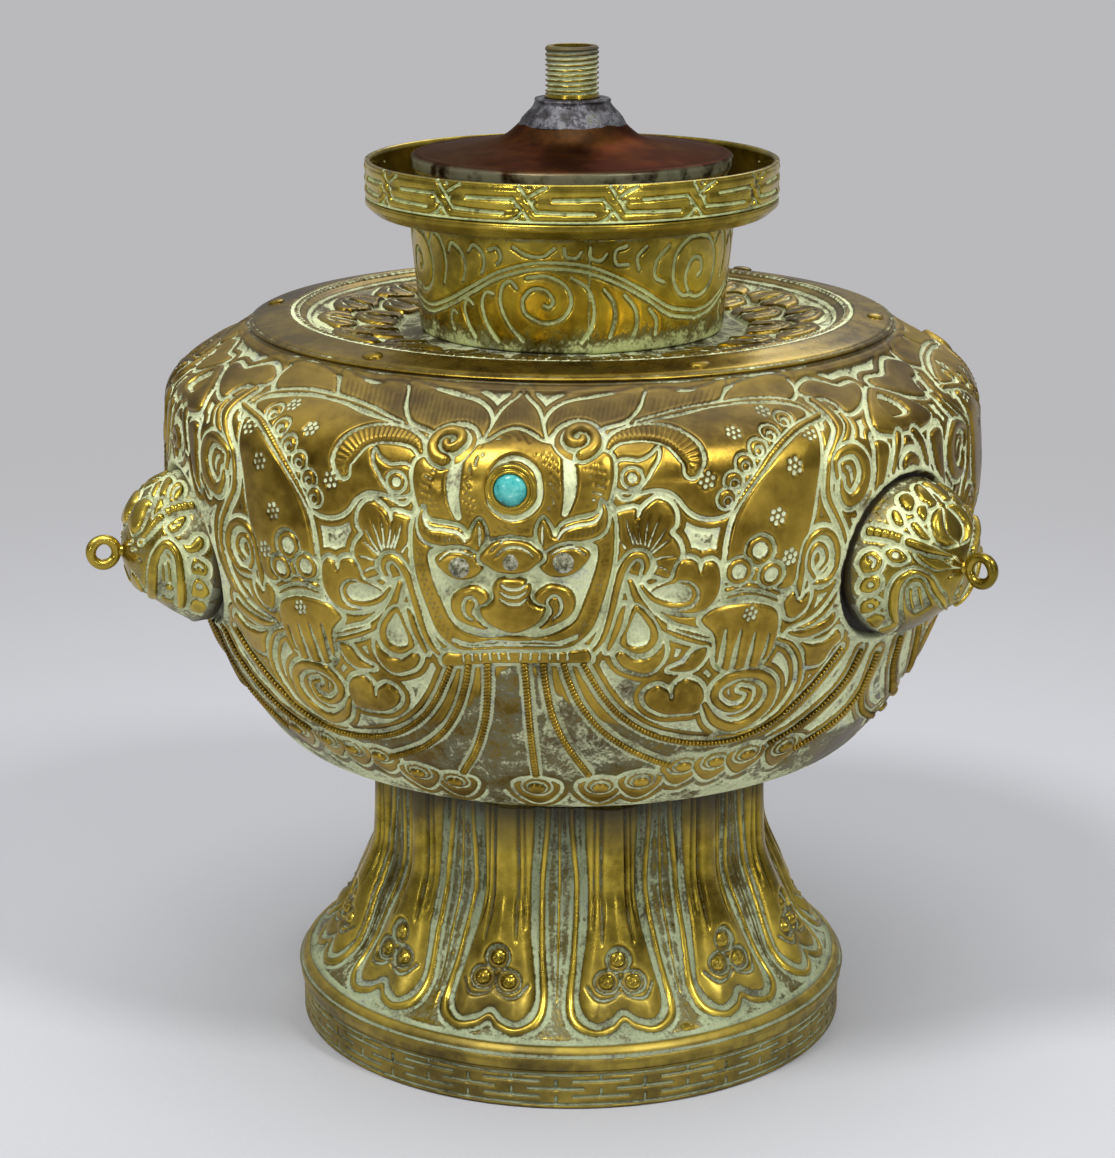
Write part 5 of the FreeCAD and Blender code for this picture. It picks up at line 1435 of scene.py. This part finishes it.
def buildRim():
    unit = fullTurn * rimForm["radius"] / rimForm["units"]
    low, high, r = rimForm["low"], rimForm["high"], rimForm["radius"]
    tall = high - low
    work = Chasing(-unit / 2, unit / 2, tall + 1, 0.12, 0.0, 0.0)
    work.groove([(-unit, 0.15), (0, 0.15), (unit, 0.15)], 0.55, 0.3)
    for shift in (-1, 0, 1):
        for line in keyLines:
            corners = [((x - 0.5 + shift) * unit, y * tall) for x, y in line]
            for p, q in zip(corners, corners[1:]):
                work.groove([p, ((p[0] + q[0]) / 2, (p[1] + q[1]) / 2), q], 0.62, 0.5, 0.85)
        for x, y in ((0.02, 0.92), (0.92, 0.06), (0.06, 0.56), (0.87, 0.42)):
            work.dot((x - 0.5 + shift) * unit, y * tall, 0.55, 0.4, 0.6)
    X, Y = np.meshgrid(work.xs, work.ys)
    work.height += 0.22 * sum(np.exp(-((Y - share * tall) / 0.7) ** 2) for share in (0.81, 0.5, 0.18)) - 0.22
    work.finish(0.7)

    def field(azimuth, rows, level):
        across = ((azimuth - rimForm["start"]) * rimForm["units"] / 360.0) % 1.0 - 0.5
        found = work.sample(across * unit, np.clip(level - low, 0, tall))
        fade = np.clip((level - low - 0.1) / 0.4, 0, 1) * np.clip((high - 0.2 - level) / 0.4, 0, 1)
        found["height"] = found["height"] * fade
        return found

    outline = [(r - 0.5, low), (r - 0.1, low + 0.15), (r, low + 0.5), (r, high - 0.5), (r - 0.15, high - 0.15),
               (r - 0.5, high)]
    inner = [(r - 0.9, high), (r - 1.2, high - 0.3), (r - 1.3, high - 1.0), (r - 1.3, low)]
    piece = raisedRing("key_rim", "keyBrass", outline, inner, 900, 42, field)
    finishPiece(piece, "neck", "rubbed_brass", "rim_band")


buildRim()
tray = [(27.25, 160.8), (33.0, 160.85), (37.4, 161.3, 1.2), (38.8, 162.6, 0.8), (39.4, 163.1, 0.5),
        (39.4, 164.1, 0.4), (38.9, 164.48), (37.2, 164.48), (37.0, 164.0, 0.8), (35.5, 162.3, 1.0),
        (33.0, 161.9), (27.25, 161.9)]
finishPiece(turnedPiece("rim_dish", tray, "rubbedBrass", 160), "neck", "rubbed_brass", "rim_tray")
print("neck and rim built")

# Lamp cap of brown copper over the mouth
capForm = [(29.0, 161.97), (29.9, 161.97), (29.9, 169.4, 0.6), (30.6, 170.1, 0.6), (30.6, 172.1, 0.9),
           (29.6, 172.65, 0.6), (28.4, 172.55, 0.4), (24.0, 173.3, 3.0), (17.0, 174.2, 3.0), (13.0, 175.3, 2.5),
           (10.0, 178.0, 2.0), (8.2, 180.2), (5.2, 180.2), (5.2, 179.0), (9.0, 177.0, 2.0), (12.6, 174.2, 2.0),
           (17.0, 173.1, 3.0), (24.0, 172.2, 3.0), (28.6, 171.5, 0.5), (29.0, 170.4, 0.5)]
finishPiece(turnedPiece("copper_cap", capForm, "brownCopper", 160, 40), "cap", "brown_copper", "lamp_cap")


def buildSolder():
    outline = [(5.2, 180.2), (7.6, 180.2), (8.8, 178.9), (9.9, 177.7), (10.3, 177.75), (9.6, 178.9),
               (8.6, 180.1), (7.6, 181.2), (7.15, 181.9), (7.3, 182.45), (6.8, 182.75), (5.2, 182.75)]
    piece = turnedPiece("solder_cone", outline, "greySolder", 72, 60, 0.3)
    for vertex in piece.data.vertices:
        x, y, z = (c / mm for c in vertex.co)
        if math.hypot(x, y) > 5.6 and z < 182.7:
            a = math.atan2(y, x)
            lump = 0.28 * math.sin(3 * a + 1.1) + 0.2 * math.sin(7 * a + z * 2.1) + 0.1 * math.sin(13 * a)
            lump = max(min(lump, 0.12), -0.25) if z > 180.3 else lump * 0.4
            vertex.co.x += lump * mm * math.cos(a)
            vertex.co.y += lump * mm * math.sin(a)
    finishPiece(piece, "cap", "grey_solder", "solder_collar")


buildSolder()
nippleForm = {"radius": 5.1, "root": 4.55, "bore": 3.5, "low": 182.8, "top": 192.4, "pitch": 0.96}


def buildNipple():
    low, top, pitch = nippleForm["low"], nippleForm["top"], nippleForm["pitch"]

    def field(azimuth, rows, level):
        phase = (level - low) / pitch - azimuth / 360.0
        wave = np.abs((phase % 1.0) - 0.5) * 2
        plain = np.clip((level - low - 0.7) / 0.3, 0, 1) * np.clip((top - 0.4 - level) / 0.3, 0, 1)
        deep = (nippleForm["radius"] - nippleForm["root"]) * np.clip(wave * 1.5 - 0.2, 0, 1) * plain
        worn = np.clip((level - top + 4.2) / 1.6, 0, 1)
        return {"height": -deep * (1 - 0.45 * worn), "patina": 0.36 + 0.5 * (deep > 0.25), "edge": 0.25 - deep,
                "dark": np.maximum(0.75 * (level > top - 1.3), 0.42 * worn)}

    r = nippleForm["radius"]
    outline = [(r, low), (r, top - 0.4), (r - 0.4, top)]
    inner = [(nippleForm["bore"], top), (nippleForm["bore"], 178.0), (4.6, 178.0), (4.6, low - 0.05)]
    piece = raisedRing("threaded_nipple", "rubbedBrass", outline, inner, 72, 110, field)
    finishPiece(piece, "cap", "thread_brass", "lamp_nipple")


buildNipple()
print("cap built")

# Beast heads: one cheek laid flat, x out from the seat to the snout and y up round it, used on both.
# Kinds, forms and numbers as in motifRows
headRows = {
    "left": [
        ("blob", dict(top=0.3, edge=0.6), [7.4, 32.4, 6.3, 34.9, 4.5, 36.8, 3.2, 36.8, 3.5, 34.7, 5.3, 32.6,
         6.7, 31.7], [5.7, 30.4, 4.9, 32.8, 3.2, 34.3, 1.9, 34.1, 2, 32.2, 3.2, 30.7, 4.6, 30.2]),
        ("groove", dict(depth=0.5), [4.9, 30.8, 0.5, 4, 32.4, 0.5, 2.7, 33, 0.5]),
        ("blob", dict(top=0.3, edge=0.5), [9.5, 29.3, 8.4, 31.3, 7.4, 32.3, 6.6, 31.9, 6.8, 30.5, 7.9, 29.4]),
        ("blob", dict(top=0.55, bulge=0.7, edge=1.2), [15.8, 36.1, 13.7, 36.7, 11.5, 37.5, 9.3, 35.4, 8.7,
         32.7, 10.3, 31.4, 11.6, 29.8, 13.7, 28.4, 16, 30.1]),
        ("blob", dict(top=0.2, edge=0.5), [6.6, 37.4, 5.1, 37.3, 4.6, 37.5, 6.6, 35.1, 8.1, 33.8, 8.5, 35.2]),
        ("cord", dict(top=1, ribs=1.15, ribDepth=0.4, edge=0.8), [1.8, 28.6, 1.5, 3.3, 28.7, 1.7, 5.9, 28.5,
         1.8, 8.3, 27.9, 1.7]),
        ("cord", dict(top=1, edge=0.8), [7.9, 28, 1.6, 9.9, 27, 1.8, 11.7, 25.9, 1.6, 12.9, 25.1, 0.9]),
        ("blob", dict(top=0.5, bulge=0.3, edge=0.6), [7.2, 25.8, 5.7, 26.6, 4.4, 27.1, 3.2, 26.9, 3.9, 25.5,
         5.1, 24.4, 6.2, 24, 7, 24.6]),
        ("groove", dict(depth=0.4), [6.1, 25.2, 0.3, 5.3, 25.5, 0.3, 4.2, 26, 0.3]),
        ("disc", dict(r=0.8, top=0.2, edge=0.4), [17.4, 27.5], [13.7, 25]),
        ("disc", dict(r=0.7, top=0.2, edge=0.4), [16.8, 23.2]),
        ("cord", dict(top=0.7, edge=0.9), [9.9, 6.3, 2.8, 10.9, 14.3, 2.7, 10.3, 19.5, 2.4, 8.4, 22.1, 2.1,
         7.1, 22, 2, 5.8, 20, 1.7, 5.3, 16, 1.7, 4.8, 12.2, 2.1, 4.3, 8.8, 1.9]),
        ("hollow", dict(depth=-0.9), [8.6, 20.2, 7.4, 19.3, 6.4, 16.7, 5.7, 11.7, 6.4, 8.2, 8.2, 8.1, 9.4,
         13.3, 9.5, 18]),
        ("cord", dict(top=0.1, edge=0.4), [8.7, 17.7, 0.8, 8.7, 15.8, 0.8, 8.3, 13.2, 0.8], [7.7, 18.4, 0.8,
         7.4, 16.3, 0.8, 7.2, 14.3, 0.8]),
        ("disc", dict(r=1, top=0.2, edge=0.5), [7.2, 12.5]),
        ("dot", dict(r=0.8, depth=0.7, green=0.3), [14.9, 19.1]),
        ("blob", dict(top=0.2, edge=0.6), [17.3, 8.1, 15.1, 10.4, 11.6, 4.8, 13.4, 3.6, 15.5, 1.6]),
        ("blob", dict(top=0.3, bulge=0.3, edge=0.7), [5, 22.1, 3.8, 22, 2.2, 23.5, 1.1, 23, 1.3, 21.6, 2.8,
         20.5, 4.3, 20.6]),
        ("blob", dict(top=0.25, edge=0.6), [3.8, 17.7, 3.3, 19.7, 2, 19.5, 0.9, 18.5, 1.1, 16.9, 2.8, 16.3]),
        ("groove", dict(depth=0.5), [3.1, 18.1, 0.45, 2.5, 18.8, 0.45, 1.8, 18.1, 0.45]),
        ("blob", dict(top=0.25, edge=0.6), [3.2, 12.1, 3.4, 15.1, 2.4, 16.4, 1, 15.4, 0.2, 13.7, 1.3, 12.1]),
        ("dot", dict(r=0.7, depth=0.5), [2.2, 14.8]),
        ("blob", dict(top=0.2, edge=0.6), [2.9, 8.8, 2.9, 11.4, 1.3, 11.8, 0, 10.7, 0.3, 8.6, 1.7, 8]),
    ],
    "right": [
        ("blob", dict(top=0.3, edge=0.6), [2.5, 32.5, 3.2, 34, 5.3, 33.7, 6.6, 31.9, 5.9, 30.7, 4.2, 31.1]),
        ("blob", dict(top=0.25, edge=0.5), [2.7, 36.1, 2.7, 37.5, 6.2, 37.1, 8.5, 36.5, 8, 34, 5.5, 34.4]),
        ("blob", dict(top=0.3, edge=0.6), [3.2, 29.6, 4.1, 30.2, 5.7, 29.4, 6.7, 28, 5.7, 27.3, 4.3, 28.1]),
        ("blob", dict(top=0.25, edge=0.5), [7.4, 28.8, 8.2, 29.9, 10.3, 29.3, 12.1, 28.6, 10.7, 27.2, 8.7,
         27.7]),
        ("blob", dict(top=0.2, edge=0.5), [6.6, 32.7, 7.5, 34, 9, 32.8, 9.3, 30.9, 7.6, 31.1]),
        ("blob", dict(top=0.55, bulge=0.7, edge=1.2), [9.5, 33.1, 9, 35.8, 9.6, 36.8, 11.3, 35.2, 13.5, 33.6,
         15.8, 34.7, 16.9, 36.8, 15.8, 30.9, 13.2, 29.1, 11.1, 30.5]),
        ("cord", dict(top=1, ribs=1.25, ribDepth=0.45, edge=0.9), [1.7, 25.5, 1.8, 4.2, 25.5, 1.9, 7, 25.4, 2,
         9.1, 25.3, 2]),
        ("cord", dict(top=1, edge=0.9), [8.7, 25.3, 2, 11.2, 25.6, 2.4, 13.8, 26.5, 2, 17.3, 27.9, 1.2]),
        ("blob", dict(top=0.4, edge=0.6), [10.4, 23.8, 12.8, 24.1, 15.8, 24.9, 19, 22.2, 16, 20.9, 13.2, 21.7,
         11.5, 22.5]),
        ("blob", dict(top=0.5, bulge=0.2, edge=0.6), [5.1, 22.4, 6.2, 23.4, 7.8, 23.4, 9.4, 22.1, 8.1, 20.7,
         6.4, 20.9]),
        ("dot", dict(r=0.75, depth=0.45), [7, 22.2]),
        ("disc", dict(r=0.8, top=0.3, edge=0.4), [17.1, 25.6]),
        ("disc", dict(r=0.6, top=0.3, edge=0.4), [19, 29.7]),
        ("cord", dict(top=0.7, edge=0.9), [4.4, 7.5, 1.8, 6.2, 12.6, 2.1, 7.4, 16, 2, 9.2, 18.4, 1.6, 11.5,
         19.4, 1.6, 13.7, 18, 1.6, 14.6, 13.4, 1.8, 14.7, 7.5, 1.8, 12.5, 1.9, 1]),
        ("hollow", dict(depth=-0.9), [8.8, 14.8, 10.4, 16.6, 12.1, 16.7, 12.9, 13.6, 11.9, 7.4, 8.7, 5.9, 7.3,
         6.4, 7.6, 10.1]),
        ("cord", dict(top=0.1, edge=0.4), [9.8, 14.5, 0.8, 9.2, 11.9, 0.8, 8.6, 9.1, 0.8], [11.5, 14.9, 0.8,
         11.1, 11.9, 0.8, 10.3, 8.4, 0.8]),
        ("dot", dict(r=0.8, depth=0.7, green=0.3), [19, 15.5]),
        ("disc", dict(r=1.5, top=0.4, edge=0.6), [17.3, 0.3]),
        ("dot", dict(r=0.7, depth=0.5), [17.2, 1.1]),
        ("blob", dict(top=0.3, edge=0.6), [1.1, 20.2, 1.6, 21.8, 3.4, 22.6, 5.2, 21, 4.6, 19.2, 2.4, 18.5]),
        ("groove", dict(depth=0.5), [2.9, 21.3, 0.45, 3.9, 20.9, 0.45, 3.6, 19.9, 0.45]),
        ("blob", dict(top=0.25, edge=0.6), [1.1, 15.9, 1.7, 17.6, 3.3, 18.4, 4.9, 18, 4.7, 16.1, 2.8, 15.2]),
        ("dot", dict(r=0.6, depth=0.5), [3.2, 16.8]),
        ("blob", dict(top=0.25, edge=0.6), [0, 12.3, 1.2, 14.1, 3.4, 14.3, 4.2, 12.9, 2.5, 11.6, 0.4, 11.4]),
        ("dot", dict(r=0.55, depth=0.5), [2.3, 12.9]),
        ("blob", dict(top=0.25, edge=0.6), [0, 9.4, 0.3, 10.5, 2.8, 10.8, 3.4, 9.2, 0.9, 7.4, 0, 8]),
        ("blob", dict(top=0.2, edge=0.5), [0, 6.7, 2.5, 7.2, 5, 7.1, 2, 4.8, 0, 4.9]),
    ],
}


def drawCheek(rows):
    work = Chasing(-0.5, 19.5, 38.2, 0.1, -0.1, 0.3)
    work.patina += 0.24 * np.clip((7.0 - work.xs) / 4.0, 0, 1)[None]
    for kind, form, points in outlinesOf(rows):
        if kind in ("blob", "cord", "disc"):
            form = dict(channel=0.6, depth=-0.7) | form
        given = points[0] if kind in ("disc", "dot") else [points]
        getattr(work, kind)(*given, **form)
    work.finish(0.8)
    return work


# a head's outline from the wall to the snout: shares of its depth, height up and down, and width
headShares = [(0, 1, -1, 1), (.34, .92, -.82, .92), (.66, .72, -.62, .74), (.88, .44, -.48, .48),
              (1, .18, -.20, .20)]


def buildHead(name, head):
    sides, rings = 190, 100
    form, wall, k = headForm, head["wall"], np.linspace(0, 1, rings)
    depthAt, upAt, downAt, wideAt = (monotoneLine(np.linspace(0, 1, len(headShares)), column, k)[:, None]
                                     for column in np.array(headShares).T)
    turn = np.linspace(0, fullTurn, sides, endpoint=False)[None]
    U = wideAt * form["halfWide"] * np.cos(turn)
    V = ((upAt + downAt) / 2 + (upAt - downAt) / 2 * np.sin(turn)) * form["halfHigh"]
    sheet = np.dstack([U, V, depthAt * form["depth"] + 0 * U])
    normal = np.cross(np.roll(sheet, -1, 1) - np.roll(sheet, 1, 1), np.gradient(sheet, axis=0))
    normal /= np.maximum(np.linalg.norm(normal, axis=2, keepdims=True), 1e-9)
    cheek = drawCheek(headRows["right" if name == "right" else "left"])
    found = cheek.sample(19 * k[:, None] + 0 * U, 12 * np.arcsin(np.sin(turn)) + 19 + 0 * U)
    fade = np.clip(k / 0.04, 0, 1) * np.clip((1 - k) / 0.05, 0.3, 1)
    sheet += normal * (found["height"] * fade[:, None])[..., None]
    base = [np.c_[sheet[0, :, :2] * share, np.full(sides, -form["seat"])] for share in (0.5, 0.985)]
    local = np.concatenate([base, sheet])
    # the head's edge follows the wall's roundness
    sag = wall - np.sqrt(np.maximum(wall ** 2 - local[..., :1] ** 2, 0))
    radial = wall + local[..., 2:] - sag * np.clip(1 - local[..., 2:] / 5.0, 0, 1)
    out, across = bearings(math.radians(head["azimuth"]))
    xyz = radial * out + local[..., :1] * across + up * (local[..., 1:2] + head["level"])
    points = np.vstack([xyz.reshape(-1, 3), xyz[-1].mean(0) + out * 0.9])
    # painted shade where the head meets the wall, and on its hidden seat
    found["dark"] = 0.7 * np.clip(1 - k / 0.015, 0, 1)[:, None] + 0 * U
    layers = {key: np.r_[np.full(2 * sides, key == "dark"), found[key].ravel(), 0.0]
              for key in ("patina", "edge", "dark")}
    piece = newPiece("beast_head_" + name, points, domeFaces(len(xyz), sides), "rubbedBrass", layers)
    finishPiece(piece, "vase", "aged_brass", "boss_head_" + name)


loopForm = {"centre": 15.6, "eye": 2.4, "wire": 0.98}
# the stub between loop and snout: places along it and radii
stubRings = [(-5.4, 1.5), (-4.4, 1.7), (-3.7, 1.3), (-3.1, 1.0), (-2.5, 0.9)]


def buildLoop(name, head):
    out, across = bearings(math.radians(head["azimuth"]))
    centre = out * (head["wall"] + loopForm["centre"]) + up * head["level"]
    big, small = 32, 14
    points = []
    for t in np.arange(big) * fullTurn / big:
        spoke = math.cos(t) * out + math.sin(t) * up
        wire = loopForm["wire"] * (1 + 0.06 * math.sin(3 * t))
        spoke, away = spoke * loopForm["eye"], spoke
        points += [centre + spoke + away * u + across * v for u, v, w in ringPoints(wire, small, 0)]
    base, top = len(points), len(points) + (len(stubRings) - 1) * small
    for d, r in stubRings:
        points += [centre + out * d + across * u + up * v for u, v, w in ringPoints(r, small, 0)]
    faces = [face[::-1] for face in gridFaces(big, small, 0, True)] + gridFaces(len(stubRings), small, base)
    faces += [tuple(range(base + small - 1, base - 1, -1)), tuple(range(top, top + small))]
    piece = newPiece("boss_ring_" + name, np.array(points), faces, "rubbedBrass")
    finishPiece(piece, "vase", "rubbed_brass", "boss_loop_" + name)


for name, head in heads.items():
    buildHead(name, head)
    buildLoop(name, head)
print("beast heads built")

# Stones: turquoise in its bezel on each brow, small pale stones in the eyes
stoneForm = {"radius": 2.9, "level": 125.6, "wall": 78.5}
bezelForm = [(2.75, -0.8), (4.5, -0.8), (4.45, 0.7, 0.35), (4.1, 1.05, 0.3), (3.6, 0.75, 0.2), (3.3, 1.3, 0.2),
             (2.95, 1.25, 0.1)]
eyeForm = {"radius": 1.85, "level": 112.35, "spread": 8.9, "lean": 0.75, "third": 0.95}
thirds = {"front": 0.0, "right": 120.0, "left": -120.0}


def buildStones():
    rim, sides = roundedCorners(bezelForm), 48
    for name, azimuth in thirds.items():
        out, across = bearings(math.radians(azimuth))
        spot = out * stoneForm["wall"] + up * stoneForm["level"]
        points, faces = domeMesh(8, 40, stoneForm["radius"], 1.5, -0.6, 0.6, 0.8)
        stone = newPiece("turquoise_" + name, seated(points, spot, across, out), faces, "turquoise")
        finishPiece(stone, "vase", "turquoise", "stone_" + name)
        ring = np.array([place for r, h in rim for place in ringPoints(r, sides, h)])
        faces = gridFaces(len(rim), sides, 0, True)
        bezel = newPiece("bezel_ring_" + name, seated(ring, spot, across, out), faces, "rubbedBrass")
        finishPiece(bezel, "vase", "rubbed_brass", "bezel_" + name)
    meshes = []
    for azimuth in thirds.values():
        for side in (-1, 0, 1):
            level = eyeForm["level"] + eyeForm["third"] * (1 - abs(side)) + eyeForm["lean"] * side
            r = float(np.interp(level, bodyOutline[:, 1], bodyOutline[:, 0]))
            out, across = bearings(math.radians(azimuth) + math.asin(side * eyeForm["spread"] / r))
            points, faces = domeMesh(6, 26, eyeForm["radius"], 0.4, -1.5, 0.62, 0.8)
            meshes.append((seated(points, out * r + up * level, across, out), faces))
    eyes = newPiece("mask_eye_stones", *joinedMeshes(meshes), "paleStone")
    finishPiece(eyes, "vase", "pale_stone", "mask_eyes")


buildStones()
print("stones set")


def directlySeen(tree):
    path = addNode(tree, "ShaderNodeLightPath").outputs
    return Value(tree, path["Is Camera Ray"]).most(path["Is Glossy Ray"]).most(path["Is Transmission Ray"])


def buildCamera():
    out, right = bearings(math.radians(viewPoint["azimuth"]))
    data = bpy.data.cameras.new("camera")
    data.lens, data.sensor_width, data.sensor_fit = viewPoint["lens"], 36.0, "AUTO"
    camera = linked("camera", data)
    spot = out * viewPoint["distance"] + right * viewPoint["sideStep"] + up * viewPoint["height"]
    camera.location = spot * mm
    camera.rotation_euler = (math.radians(90 - viewPoint["dip"]), 0, math.radians(viewPoint["azimuth"]))
    bpy.context.scene.camera = camera


def buildLamps():
    for name, (azimuth, high, far, size, watts) in lamps.items():
        lamp = bpy.data.lights.new(name, "AREA")
        lamp.shape, lamp.size, lamp.energy = "DISK", size, watts
        turn, rise = math.radians(azimuth + viewPoint["azimuth"]), math.radians(high)
        thing = linked(name, lamp)
        thing.location = (bearings(turn)[0] * math.cos(rise) + up * math.sin(rise)) * far + up * 0.09
        thing.rotation_euler = (math.pi / 2 - rise, 0, turn)


def buildSky():
    world = bpy.data.worlds.new("studio")
    bpy.context.scene.world = world
    world.use_nodes = True
    tree = world.node_tree
    tree.nodes.clear()
    strength = directlySeen(tree) * (1.0 - studio["skyLight"]) + studio["skyLight"]
    way = made(tree, "ShaderNodeTexCoord", None, "Generated")
    high = stepped(made(tree, "ShaderNodeSeparateXYZ", {0: way}, "Z"), 0.1, 0.8)
    tone = mixTones(high, studio["sky"], studio["zenith"])
    sky = made(tree, "ShaderNodeBackground", {"Color": tone, "Strength": strength})
    sky.into(addNode(tree, "ShaderNodeOutputWorld"), 0)


def buildFloor():
    half = studio["floorSize"] / 2
    mesh = bpy.data.meshes.new("floor_cloth")
    corners = [(-half, -half, 0), (half, -half, 0), (half, half, 0), (-half, half, 0)]
    mesh.from_pydata(corners, [], [(0, 1, 2, 3)])
    floor = linked("floor_cloth", mesh)
    tree, shader, place = newMaterial("paleCloth")
    cloud = mottle(place, 2.5, 3.0) * 0.35
    mixTones(cloud, studio["floorTone"], studio["cloudTone"]).into(shader, "Base Color")
    shader.inputs["Roughness"].default_value = 0.9
    shader.inputs["Specular IOR Level"].default_value = 0.1
    bumped(shader, mottle(place, 900.0, 3.0), 0.25, 0.0003)
    # away from the vase the cloth keeps one plain tone
    far = made(tree, "ShaderNodeVectorMath", {0: place}, "Value", operation="LENGTH")
    plain = made(tree, "ShaderNodeEmission", {"Color": studio["farTone"] + (1,)})
    parts = {0: stepped(far, 0.10, 0.55) * directlySeen(tree), 1: shader.outputs[0], 2: plain}
    output = next(node for node in tree.nodes if node.type == "OUTPUT_MATERIAL")
    made(tree, "ShaderNodeMixShader", parts).into(output, "Surface")
    mesh.materials.append(materials["paleCloth"])
    floor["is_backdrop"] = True


buildCamera()
buildLamps()
buildSky()
buildFloor()
bpy.context.scene.view_settings.view_transform = "Standard"
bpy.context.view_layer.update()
count = sum(len(piece.data.loop_triangles) or len(piece.data.polygons) * 2
            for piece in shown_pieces() if piece.type == "MESH")
print("triangles, about:", count)
